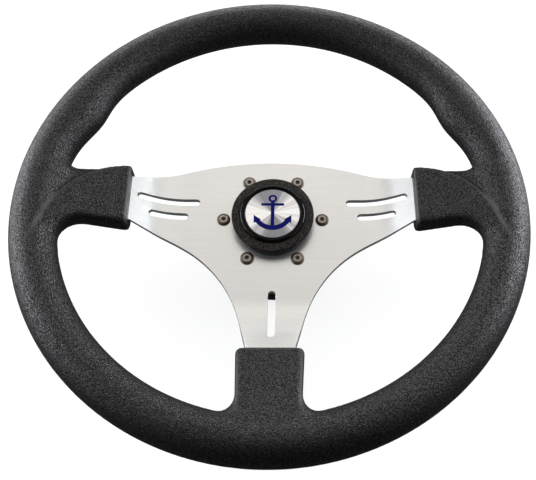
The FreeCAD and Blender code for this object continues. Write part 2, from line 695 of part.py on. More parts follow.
def buildSideSocket():
    """Socket of the right arm: the crest's wedge, and the lower valley that runs into the rim beside it."""
    nearWall, nearEnd, nearKey = flare("@sideLow", "0", "@nearFlare", -1)
    farWall, farEnd, farKey = flare("@sideHigh", "@sideTaper", "@farFlare", 1)
    radius = f"(@crestCurve * sqrt({socketLength} * sqrt({socketLength} * (@sideHigh + @sideLow))))"
    run = f"({socketLength} - @crestInset - {radius} * (sin(@crestTurn) - sin(@sideTaper)))"
    crest = (f"(@mouthReach + {run})", f"(@sideHigh - {run} * tan(@sideTaper))")
    bendEnd = ("(@rimRadius - @crestInset)",
               f"({crest[1]} - {radius} * (cos(@sideTaper) - cos(@crestTurn)))")
    tail = f"(@crestTail * ({bendEnd[1]} - {nearKey[1]}))"
    crestEnd = (f"{bendEnd[0]} + {tail} / tan(@crestTurn)", f"{bendEnd[1]} - {tail}")
    lowMouth, highMouth = ("@mouthReach", "-@sideLow"), ("@mouthReach", "@sideHigh")
    crestCorners = [lowMouth, nearWall, nearEnd, nearKey, crestEnd, bendEnd, crest, highMouth]
    crestArcs = {1: ("@nearFlare", False), 5: (radius, True)}
    crestRounds = [("@socketRound", [lowMouth, nearWall, nearEnd]),
                   ("@crestRound", [highMouth, crest, bendEnd, crestEnd])]
    crestBody = wedge("SideCrest", crestCorners, crestArcs, "0", crestRounds)
    addLip(crestBody)
    valleyCorners = [(crest[0], "0"), (keyRadius, "0"), farKey, farEnd, farWall, crest]
    valleyArcs = {1: (keyRadius, True), 3: ("@farFlare", False)}
    valleyRounds = [("@socketRound", [crest, farWall, farEnd])]
    valleyBody = wedge("SideValley", valleyCorners, valleyArcs, "@valleyDrop", valleyRounds)
    socket = doc.addObject("Part::MultiFuse", "SideSocket")
    socket.Shapes = [crestBody, valleyBody]
    return socket


def buildLegSocket():
    """Socket of the bottom arm, drawn to the right and turned down."""
    sides = [flare("@bottomHalf", "@bottomTaper", "@bottomFlare", side) for side in (-1, 1)]
    (lowWall, lowEnd, lowKey), (highWall, highEnd, highKey) = sides
    lowMouth, highMouth = ("@mouthReach", "-@bottomHalf"), ("@mouthReach", "@bottomHalf")
    corners = [lowMouth, lowWall, lowEnd, lowKey, highKey, highEnd, highWall, highMouth]
    arcs = {1: ("@bottomFlare", False), 3: (keyRadius, True), 5: ("@bottomFlare", False)}
    rounds = [("@socketRound", [lowMouth, lowWall, lowEnd]), ("@socketRound", [highMouth, highWall, highEnd])]
    body = wedge("LegSocket", corners, arcs, "0", rounds)
    addLip(body)
    body.Placement = FreeCAD.Placement(vector(0, 0, 0), FreeCAD.Rotation(vector(0, 0, 1), -90))
    return body


def place(thing, name, formula):
    bind(thing, "Placement." + name, formula)


def rimArc(name, start, sweep):
    """Plain stretch of the rim between two swells."""
    arc = doc.addObject("Part::Torus", name)
    bind(arc, "Radius1", "@rimRadius")
    bind(arc, "Radius2", "@rimSection")
    bind(arc, "Angle3", sweep)
    place(arc, "Base.z", rimPlane)
    place(arc, "Rotation.Yaw", start)
    return arc


def buildSwell():
    """Thumb swell on the right: ellipses that keep the rim's outer line and grow inwards."""
    sections = []
    for step in range(-swellSteps - 1, swellSteps + 2):
        section = doc.addObject("Part::Ellipse", f"SwellSection{step + swellSteps + 1}")
        grow = f"@swellDepth / 2 * cos({90 * step / swellSteps}) ^ 2" if abs(step) < swellSteps else "0"
        angle = f"(@swellAngle + @swellReach * {step} / {swellSteps})"
        bind(section, "MajorRadius", f"@rimSection + {grow}")
        bind(section, "MinorRadius", "@rimSection")
        section.Placement.Rotation = FreeCAD.Rotation(0, 0, 90)
        place(section, "Rotation.Yaw", angle)
        place(section, "Base.x", f"(@rimRadius - {grow}) * cos({angle})")
        place(section, "Base.y", f"(@rimRadius - {grow}) * sin({angle})")
        place(section, "Base.z", rimPlane)
        sections.append(section)
    swell = doc.addObject("Part::Loft", "SwellRight")
    swell.Sections = sections
    swell.Solid = True
    return swell


def mirroredLeft(name, source):
    mirrored = doc.addObject("Part::Mirroring", name)
    mirrored.Source = source
    mirrored.Normal = vector(1, 0, 0)
    return mirrored


def buildGrip(plate):
    """One moulding round the hoop and the plate's arms."""
    sideSocket = buildSideSocket()
    legSocket = buildLegSocket()
    swell = buildSwell()
    reach = f"@swellReach * {swellSteps + 1} / {swellSteps}"
    upperRim = rimArc("UpperRim", f"@swellAngle + {reach}", f"180 - 2 * (@swellAngle + {reach})")
    lowerRim = rimArc("LowerRim", f"180 - @swellAngle + {reach}", f"180 + 2 * (@swellAngle - {reach})")
    solid = doc.addObject("Part::MultiFuse", "GripSolid")
    solid.Shapes = [upperRim, lowerRim, swell, mirroredLeft("SwellLeft", swell),
                    sideSocket, mirroredLeft("SideSocketLeft", sideSocket), legSocket]
    hoopSpace = doc.addObject("Part::Torus", "HoopSpace")
    bind(hoopSpace, "Radius1", "@rimRadius")
    bind(hoopSpace, "Radius2", "@hoopSection")
    place(hoopSpace, "Base.z", rimPlane)
    inner = doc.addObject("Part::MultiFuse", "GripCavity")
    inner.Shapes = [hoopSpace, plate]
    grip = doc.addObject("Part::Cut", "Grip")
    grip.Base = solid
    grip.Tool = inner
    return grip


hub = buildHub()
spokePlate = buildSpokePlate()
pieces = {
    "hub": hub,
    "spoke_plate": spokePlate,
    "rim_hoop": buildRimHoop(),
    "grip": buildGrip(spokePlate),
    "hub_screws": buildHubScrews(),
    "cap_base": buildCapBase(),
    "cap_ring": buildCapRing(),
    "cap_bezel": buildCapBezel(),
    "emblem_disc": buildEmblemDisc(),
}
doc.recompute()

for item in doc.Objects:
    if "Invalid" in item.State or "Error" in item.State:
        raise RuntimeError(f"{item.Name} failed: {item.State}")
for name, item in pieces.items():
    item.Label = name
    if item.Shape.isNull() or not item.Shape.isValid():
        raise RuntimeError(f"{name} has no valid shape")

os.makedirs("parts", exist_ok=True)
for name, item in pieces.items():
    item.Shape.exportStep(f"parts/{name}.step")
    box = item.Shape.optimalBoundingBox()
    print(name, len(item.Shape.Solids), "solids", round(item.Shape.Volume, 1), "mm3",
          [round(v, 2) for v in (box.XMin, box.XMax, box.YMin, box.YMax, box.ZMin, box.ZMax)])
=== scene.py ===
import math

import bmesh
import bpy
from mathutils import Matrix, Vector
from mathutils.geometry import delaunay_2d_cdt


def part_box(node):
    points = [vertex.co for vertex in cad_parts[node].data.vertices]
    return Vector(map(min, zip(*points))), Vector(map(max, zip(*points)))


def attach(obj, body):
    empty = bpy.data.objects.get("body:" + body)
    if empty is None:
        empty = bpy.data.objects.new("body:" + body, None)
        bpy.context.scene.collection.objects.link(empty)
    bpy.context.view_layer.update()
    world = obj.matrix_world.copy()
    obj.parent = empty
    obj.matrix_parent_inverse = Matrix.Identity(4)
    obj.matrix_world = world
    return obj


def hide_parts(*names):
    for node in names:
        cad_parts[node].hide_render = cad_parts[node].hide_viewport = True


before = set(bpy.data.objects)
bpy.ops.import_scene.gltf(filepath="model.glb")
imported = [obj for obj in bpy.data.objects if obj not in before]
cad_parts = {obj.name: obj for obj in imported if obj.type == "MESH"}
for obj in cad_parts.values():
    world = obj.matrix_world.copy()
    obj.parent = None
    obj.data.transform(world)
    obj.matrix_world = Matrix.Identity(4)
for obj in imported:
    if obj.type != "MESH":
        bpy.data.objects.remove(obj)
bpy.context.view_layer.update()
mm = 0.001


class Wire:
    # a socket of a node tree, with the operators that a formula needs

    def __init__(self, graph, socket):
        self.graph = graph
        self.socket = socket

    def __add__(self, other):
        return self.graph.calc("ADD", self, other)

    __radd__ = __add__

    def __sub__(self, other):
        return self.graph.calc("SUBTRACT", self, other)

    def __rsub__(self, other):
        return self.graph.calc("SUBTRACT", other, self)

    def __mul__(self, other):
        return self.graph.calc("MULTIPLY", self, other)

    __rmul__ = __mul__

    def __truediv__(self, other):
        return self.graph.calc("DIVIDE", self, other)

    def __neg__(self):
        return self.graph.calc("MULTIPLY", self, -1.0)

    def __gt__(self, other):
        return self.graph.calc("GREATER_THAN", self, other)

    def __lt__(self, other):
        return self.graph.calc("LESS_THAN", self, other)


class Graph:
    # adds nodes to a tree and links them

    def __init__(self, tree):
        self.tree = tree

    def add(self, kind, inputs=None, outlet=0, **settings):
        node = self.tree.nodes.new(kind)
        for name, value in settings.items():
            if name == "stops":
                self.setStops(node.color_ramp, value)
            else:
                setattr(node, name, value)
        for key, value in (inputs or {}).items():
            self.feed(node.inputs[key], value)
        return Wire(self, node.outputs[outlet]) if node.outputs else node

    def setStops(self, ramp, stops):
        while len(ramp.elements) < len(stops):
            ramp.elements.new(0.5)
        for element, (place, grey) in zip(ramp.elements, stops):
            element.position = place
            element.color = (grey, grey, grey, 1)

    def feed(self, socket, value):
        if isinstance(value, Wire):
            self.tree.links.new(value.socket, socket)
        else:
            socket.default_value = value

    def calc(self, operation, *values):
        return self.add("ShaderNodeMath", dict(enumerate(values)), operation=operation)

    def larger(self, a, b):
        return self.calc("MAXIMUM", a, b)

    def smaller(self, a, b):
        return self.calc("MINIMUM", a, b)

    def length(self, a, b):
        return self.calc("SQRT", a * a + b * b)

    def axes(self, vector):
        node = self.tree.nodes.new("ShaderNodeSeparateXYZ")
        self.feed(node.inputs[0], vector)
        return [Wire(self, socket) for socket in node.outputs]

    def joined(self, x=0.0, y=0.0, z=0.0):
        return self.add("ShaderNodeCombineXYZ", {"X": x, "Y": y, "Z": z})

    def noise(self, vector, scale, detail, roughness=0.5):
        inputs = {"Vector": vector, "Scale": scale, "Detail": detail, "Roughness": roughness}
        return self.add("ShaderNodeTexNoise", inputs)

    def bump(self, height, strength, distance):
        inputs = {"Height": height, "Strength": strength, "Distance": distance}
        return self.add("ShaderNodeBump", inputs)

    def blendColour(self, factor, a, b):
        # inputs 6 and 7 and output 2 are the colour ones of a Mix node
        return self.add("ShaderNodeMix", {0: factor, 6: a, 7: b}, 2, data_type="RGBA")

    def ramp(self, value, stops):
        return self.add("ShaderNodeValToRGB", {0: value}, stops=stops)


# Materials


def newMaterial(name, values):
    # values go to the sockets of the Principled shader
    material = bpy.data.materials.new(name)
    material.use_nodes = True
    graph = Graph(material.node_tree)
    shader = material.node_tree.nodes["Principled BSDF"]
    for key, value in values.items():
        shader.inputs[key].default_value = value
    place = graph.add("ShaderNodeTexCoord", outlet=3)
    return material, graph, shader, place


gripFinishAndPaintedEdge = {
    "crown": (0.0088, 0.0072, 0.0084, 1),
    # colour of the painted highlight along the edges
    "rubbed": (0.042, 0.04, 0.041, 1),
    "crownShine": 0.42,
    "tint": (1.0, 0.966, 0.985, 1),  # of the gloss
    "pit": (0.003, 0.0028, 0.0028, 1),
    "pitShine": 0.7,
    "pebbles": 1750,  # per metre
    "creases": (660, 1550, 1550),  # along the rim, across it and through it
    "speckle": 2800,
    "level": 0.78,
    "pebbleDepth": 0.85,
    "creaseDepth": 0.9,
    "speckleDepth": 0.45,
    "glossStops": [(0.28, 0.0), (0.63, 1.0)],
    "paintedEdgeGloss": 0.6,
    "depth": 0.0002,
}


def gripMaterial():
    # moulded skin: pebbles with fine creases along the rim, glossier on the crowns than in the pits, and a
    # painted highlight, lighter and glossier, along the crest, the lips of the mouths and the sides of the
    # bottom socket
    look = gripFinishAndPaintedEdge
    values = {"Roughness": look["crownShine"], "Specular IOR Level": 1.0, "IOR": 1.55,
              "Specular Tint": look["tint"]}
    material, graph, crown, place = newMaterial("gripMoulding", values)
    x, y, z = graph.axes(place)
    around = graph.calc("ARCTAN2", y, x) * (gripSizes["Rim radius"] * mm)
    along, across, through = look["creases"]
    creases = graph.noise(graph.joined(around * along, graph.length(x, y) * across, z * through), 1, 2)
    cells = {"Vector": place, "Scale": look["pebbles"]}
    pebbles = graph.add("ShaderNodeTexVoronoi", cells, feature="F1")
    speckle = graph.noise(place, look["speckle"], 2)
    height = look["level"] - pebbles * look["pebbleDepth"]
    height = height + (creases - 0.5) * look["creaseDepth"] + (speckle - 0.5) * look["speckleDepth"]
    # painted highlight: the edges marked in the mesh get a lighter colour and more gloss
    rubbed = graph.add("ShaderNodeAttribute", outlet="Fac", attribute_name="rubbed")
    graph.feed(crown.inputs["Base Color"], graph.blendColour(rubbed, look["crown"], look["rubbed"]))
    gloss = graph.larger(graph.ramp(height, look["glossStops"]), rubbed * look["paintedEdgeGloss"])
    bump = graph.bump(height, 1.0, look["depth"])
    dull = {"Base Color": look["pit"], "Roughness": look["pitShine"], "Specular IOR Level": 0.2}
    pit = graph.add("ShaderNodeBsdfPrincipled", dull)
    graph.feed(crown.inputs["Normal"], bump)
    graph.feed(pit.socket.node.inputs["Normal"], bump)
    both = {0: gloss, 1: pit, 2: Wire(graph, crown.outputs[0])}
    skin = graph.add("ShaderNodeMixShader", both)
    graph.feed(material.node_tree.nodes["Material Output"].inputs["Surface"], skin)
    return material


plateFinish = {
    "base": (0.775, 0.781, 0.776, 1),
    "dark": (0.714, 0.719, 0.714, 1),
    "metallic": 0.92,
    "roughness": 0.36,
    "spread": 0.2,  # of the roughness over the streaks
    "lines": (26, 2600, 2600),  # per metre along the brushing and across it
    "bands": (16, 420, 420),
    "bandShare": 0.3,
    "tintStops": [(0.36, 0.0), (0.62, 1.0)],
    "strength": 0.2,
    "depth": 0.00003,
}


def plateMaterial():
    look = plateFinish
    material, graph, shader, place = newMaterial("brushedAluminium", {"Metallic": look["metallic"]})
    fine = graph.add("ShaderNodeMapping", {"Vector": place, "Scale": look["lines"]})
    broad = graph.add("ShaderNodeMapping", {"Vector": place, "Scale": look["bands"]})
    lines = graph.noise(fine, 1, 3, 0.6)
    bands = graph.noise(broad, 1, 2)
    streak = lines * (1 - look["bandShare"]) + bands * look["bandShare"]
    tint = graph.ramp(streak, look["tintStops"])
    graph.feed(shader.inputs["Base Color"], graph.blendColour(tint, look["dark"], look["base"]))
    graph.feed(shader.inputs["Roughness"], look["roughness"] + (streak - 0.5) * look["spread"])
    graph.feed(shader.inputs["Normal"], graph.bump(streak, look["strength"], look["depth"]))
    return material


plainGrain = {"stops": [(0.42, 0.0), (0.66, 1.0)], "strength": 0.8}


def plainMaterial(name, look):
    # look: base, roughness, specular level, and a grain with its cells per metre, depth and lightening
    values = {"Roughness": look["roughness"], "Specular IOR Level": look["specular"]}
    material, graph, shader, place = newMaterial(name, values)
    grain = graph.noise(place, look["grain"], 3)
    light = tuple(channel * look["lighter"] for channel in look["base"][:3]) + (1,)
    spot = graph.ramp(grain, plainGrain["stops"])
    graph.feed(shader.inputs["Base Color"], graph.blendColour(spot, look["base"], light))
    graph.feed(shader.inputs["Normal"], graph.bump(grain, plainGrain["strength"], look["depth"]))
    return material


bezelFinish = {
    "base": (0.0008, 0.0008, 0.0012, 1),
    "specular": 0.09,
    "coatRoughness": 0.06,
    "coatIor": 1.5,
    # over the bead from its inside to its outside
    "coatStops": [(0.6, 0.0), (0.84, 0.45)],
    "roughness": 0.3,
    "smoother": [(0.1, 0.0), (0.8, 0.22)],
}


def bezelMaterial():
    # black plastic, polished on the outer shoulder of the bead
    look = bezelFinish
    values = {"Base Color": look["base"], "Specular IOR Level": look["specular"],
              "Coat Roughness": look["coatRoughness"], "Coat IOR": look["coatIor"]}
    material, graph, shader, place = newMaterial("capGloss", values)
    x, y, _ = graph.axes(place)
    inside, outside = capSizes["bezelIn"], capSizes["bezelOut"]
    share = (graph.length(x, y) / mm - inside) / (outside - inside)
    graph.feed(shader.inputs["Coat Weight"], graph.ramp(share, look["coatStops"]))
    graph.feed(shader.inputs["Roughness"], look["roughness"] - graph.ramp(share, look["smoother"]))
    return material


discFinishAndPaintedSheen = {
    "dull": (0.25, 0.25, 0.28, 1),
    "bright": (0.9, 0.905, 0.9, 1),
    "metallic": 0.85,
    "roughness": 0.32,
    "turn": 0.25,  # twice the angle at which the painted sheen is brightest
    "rings": 6000,  # per metre
    "ringDepth": 0.3,
    "streaks": 5,
    "streakDepth": 1.6,
    "stops": [(0.15, 0.0), (0.95, 1.0)],
}


def discMaterial():
    # spun metal: the rings of the tool in the colour, with a painted sheen: painted highlights that run
    # out from the middle and are brightest on two opposite sides
    look = discFinishAndPaintedSheen
    values = {"Metallic": look["metallic"], "Roughness": look["roughness"]}
    material, graph, shader, place = newMaterial("spunMetalPaintedSheen", values)
    x, y, _ = graph.axes(place)
    turn = graph.calc("ARCTAN2", y, x)
    reach = {"W": graph.length(x, y) * look["rings"], "Scale": 1, "Detail": 2}
    rings = graph.add("ShaderNodeTexNoise", reach, noise_dimensions="1D")
    # the same at both ends of the turn, as the noise is taken round a circle
    fan = graph.joined(graph.calc("COSINE", turn), graph.calc("SINE", turn))
    streaks = graph.noise(fan, look["streaks"], 4)
    # painted highlight: lighter towards two opposite sides, with painted streaks out from the middle, plus
    # the tool's rings
    paintedSheen = graph.calc("COSINE", turn * 2 - look["turn"]) * 0.5
    paintedSheen = paintedSheen + (streaks - 0.5) * look["streakDepth"] + (rings - 0.5) * look["ringDepth"]
    factor = graph.ramp(paintedSheen + 0.5, look["stops"])
    graph.feed(shader.inputs["Base Color"], graph.blendColour(factor, look["dull"], look["bright"]))
    return material


# Meshes


def newObject(name, mesh, material, smoothAngle=None):
    thing = bpy.data.objects.new(name, mesh)
    bpy.context.scene.collection.objects.link(thing)
    mesh.materials.clear()
    mesh.materials.append(material)
    mesh.polygons.foreach_set("use_smooth", [True] * len(mesh.polygons))
    if smoothAngle:
        mesh.set_sharp_from_angle(angle=math.radians(smoothAngle))
    return thing


def declare(thing, slot, *nodes):
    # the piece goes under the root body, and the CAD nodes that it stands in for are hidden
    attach(thing, "root")
    if nodes:
        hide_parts(*nodes)


def ellipse(x, y, wide, high, turns):
    # points round x and y at the turns given
    return [(x + wide * math.cos(turn), y + high * math.sin(turn)) for turn in turns]


def arcPoints(start, end, radius, left, step):
    # points from start towards end on an arc shorter than half a turn, the end left out
    start, end = Vector(start), Vector(end)
    chord = end - start
    normal = Vector((-chord.y, chord.x)).normalized() * (1 if left else -1)
    centre = (start + end) / 2 + normal * math.sqrt(max(radius ** 2 - (chord.length / 2) ** 2, 0))
    first = math.atan2(start.y - centre.y, start.x - centre.x)
    last = math.atan2(end.y - centre.y, end.x - centre.x)
    sweep = (last - first + math.pi) % (2 * math.pi) - math.pi
    count = max(2, math.ceil(abs(math.degrees(sweep)) / step))
    turns = [first + sweep * n / count for n in range(count)]
    return ellipse(centre.x, centre.y, radius, radius, turns)


def circlePoints(x, y, radius, count):
    return ellipse(x, y, radius, radius, [2 * math.pi * n / count for n in range(count)])


def insideLoop(point, loop):
    inside = False
    for (x1, y1), (x2, y2) in zip(loop, loop[1:] + loop[:1]):
        if (y1 > point[1]) != (y2 > point[1]) and point[0] < (x2 - x1) * (point[1] - y1) / (y2 - y1) + x1:
            inside = not inside
    return inside


def insideAny(point, loops):
    return any(insideLoop(point, loop) for loop in loops)


def split(loop, longest):
    # long straight sides get points between, so that the bend can follow
    points = []
    for (x1, y1), (x2, y2) in zip(loop, loop[1:] + loop[:1]):
        count = max(1, math.ceil(math.dist((x1, y1), (x2, y2)) / longest))
        points += [(x1 + (x2 - x1) * n / count, y1 + (y2 - y1) * n / count) for n in range(count)]
    return points


def closeMesh(bm, name):
    bmesh.ops.recalc_face_normals(bm, faces=bm.faces)
    mesh = bpy.data.meshes.new(name)
    bm.to_mesh(mesh)
    bm.free()
    return mesh


def sheetMesh(name, outlines, holes, inner, shape, thick):
    # flat outlines filled with triangles, given a thickness and laid on a shape
    points, edges = [], []
    for loop in outlines + holes:
        first = len(points)
        points += loop
        edges += [(first + n, first + (n + 1) % len(loop)) for n in range(len(loop))]
    points += inner
    flat, _, faces, _, _, _ = delaunay_2d_cdt([Vector(p) for p in points], edges, [], 0, 1e-9)
    kept = []
    for face in faces:
        centre = sum((flat[v] for v in face), Vector((0, 0))) / len(face)
        if insideAny(centre, outlines) and not insideAny(centre, holes):
            kept.append(face)
    bm = bmesh.new()
    upper = [bm.verts.new(shape(p.x, p.y, thick / 2)) for p in flat]
    lower = [bm.verts.new(shape(p.x, p.y, -thick / 2)) for p in flat]
    border = {}
    for face in kept:
        bm.faces.new([upper[v] for v in face])
        bm.faces.new([lower[v] for v in reversed(face)])
        for a, b in zip(face, face[1:] + face[:1]):
            if (b, a) in border:
                del border[(b, a)]
            else:
                border[(a, b)] = True
    for a, b in border:
        bm.faces.new([upper[b], upper[a], lower[a], lower[b]])
    for vert in [v for v in bm.verts if not v.link_faces]:
        bm.verts.remove(vert)
    return closeMesh(bm, name)


def lathe(name, profile):
    # closed profile of radius and height, turned round the wheel's axis
    steps = 96
    bm = bmesh.new()
    rings = []
    for radius, height in profile:
        onAxis = radius < 1e-9
        points = [(0, 0)] if onAxis else circlePoints(0, 0, radius * mm, steps)
        rings.append([bm.verts.new((x, y, height * mm)) for x, y in points])
    for low, high in zip(rings, rings[1:] + rings[:1]):
        if len(low) == 1 and len(high) == 1:
            continue
        for n in range(steps):
            corners = [low[n % len(low)], low[(n + 1) % len(low)]]
            corners += [high[(n + 1) % len(high)], high[n % len(high)]]
            bm.faces.new(list(dict.fromkeys(corners)))
    return closeMesh(bm, name)


def bevelEdges(thing, width):
    bevel = thing.modifiers.new("Bevel", "BEVEL")
    bevel.width = width
    bevel.segments = 2
    bevel.limit_method = "ANGLE"
    bevel.angle_limit = math.radians(35)


def mergedCopy(node, name, material, width):
    # a CAD node's mesh with its loose triangles merged and its edges broken
    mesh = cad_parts[node].data.copy()
    mesh.name = name
    bm = bmesh.new()
    bm.from_mesh(mesh)
    bmesh.ops.remove_doubles(bm, verts=bm.verts, dist=1e-6)
    bmesh.ops.dissolve_limit(bm, angle_limit=math.radians(1), verts=bm.verts, edges=bm.edges)
    bm.to_mesh(mesh)
    bm.free()
    thing = newObject(name, mesh, material, 30)
    bevelEdges(thing, width)
    return thing


# Geometry Nodes


def newTree(name, kinds):
    # a tree with the inputs named in kinds
    tree = bpy.data.node_groups.new(name, "GeometryNodeTree")
    tree.interface.new_socket("Geometry", in_out="OUTPUT", socket_type="NodeSocketGeometry")
    identifiers = {}
    for key, kind in kinds.items():
        socket = tree.interface.new_socket(key, in_out="INPUT", socket_type="NodeSocket" + kind)
        identifiers[key] = socket.identifier
    graph = Graph(tree)
    group = tree.nodes.new("NodeGroupInput")
    given = {key: Wire(graph, group.outputs[key]) for key in kinds}
    return graph, given, identifiers


def closeTree(graph, geometry, material):
    whole = graph.add("GeometryNodeRealizeInstances", {"Geometry": geometry})
    painted = graph.add("GeometryNodeSetMaterial", {"Geometry": whole, "Material": material})
    graph.add("NodeGroupOutput", {0: painted})


def runTree(name, tree, identifiers, values):
    # the tree's result as a plain mesh
    carrier = bpy.data.objects.new(name + "Carrier", bpy.data.meshes.new(name + "Empty"))
    bpy.context.scene.collection.objects.link(carrier)
    modifier = carrier.modifiers.new("Nodes", "NODES")
    modifier.node_group = tree
    for key, value in values.items():
        modifier[identifiers[key]] = value
    evaluated = carrier.evaluated_get(bpy.context.evaluated_depsgraph_get())
    mesh = bpy.data.meshes.new_from_object(evaluated)
    mesh.name = name
    carrier.modifiers.remove(modifier)
    bpy.data.objects.remove(carrier)
    return mesh


# Grip

gripSizes = {
    "Rim radius": 160.0,
    "Rim section": 14.92,
    "Rim plane": 24.25,  # above the plate's face
    "Swell angle": 28.0,
    "Swell spread": 7.6,
    "Swell depth": 5.3,
    "Mouth": 99.4,
    "Front at mouth": 19.6,
    "Front rise": 0.336,
    "Back at mouth": 2.5,
    "Back rise": 0.35,
    "Near wall": 12.3,
    "Far wall": 33.2,
    "Far taper": 11.0,
    "Crest run": 3.0,
    "Crest radius": 59.9,
    "Crest turn": 72.0,  # fall of the crest's outer straight
    "Near flare": 20.0,
    "Far flare": 10.0,
    "Flare end": 155.0,
    "Crest foot": 1.5,
    "Valley drop": 3.5,
    "Valley lead": 2.0,  # it starts this far before the crest's bend
    "Valley run": 18.0,  # and is as deep as it gets this far past it
    "Valley inset": 4.0,
    "Valley end": 150.0,
    "Valley foot": 7.0,
    "Foot from": 12.0,  # the valley's foot widens to the far flare between these heights
    "Foot to": 26.0,
    "Leg mouth": 100.2,
    "Leg half width": 22.0,
    "Leg taper": 2.7,
    "Leg flare": 12.0,
    "Leg front rise": 0.334,
    "Leg end": 155.2,
    "Edge round": 4.0,
    "Crest round": 1.6,
    "Lip round": 1.6,
    "Low corner": -12.0,  # the lip is rounder by a share towards the mouth's corners
    "Low share": 1.2,
    "High corner": 34.0,
    "High share": 0.5,
    "Corner run": 8.0,
    "Leg corner": 22.0,
    "Leg corner run": 7.0,
    "Leg share": 1.4,
    "Front fillet": 0.2,  # between the sockets and the rim
    "Back fillet": 0.8,  # more than in front
    "Fillet run": 8.0,
    "Flare margin": 3.0,
}
gripVoxel = 1.4
gripMargin = 3.0
slant = {"front": 0.948, "back": 0.944}  # distance from a sloping face over the height above it
# widths and limits of the painted highlight along the edges
gripPaintedEdges = {
    "width": 2.2,
    "lipWidth": 1.1,
    "sideWidth": 1.76,
    "ridge": 2.0,
    "ridgeDepth": (-2.4, -1.0),
    "ridgeStart": (-3.0, 6.0),  # from the crest's bend
    "ridgeEnd": (150.0, 162.0),
    "sideEnd": (138.0, 146.0),
    "mouthRing": 130.0,  # the lips lie inside it
    "sideLow": -20.0,
    "legSide": 25.0,
    "legTop": -90.0,
    "lipInset": 0.7,
    "sideInset": 1.0,
}


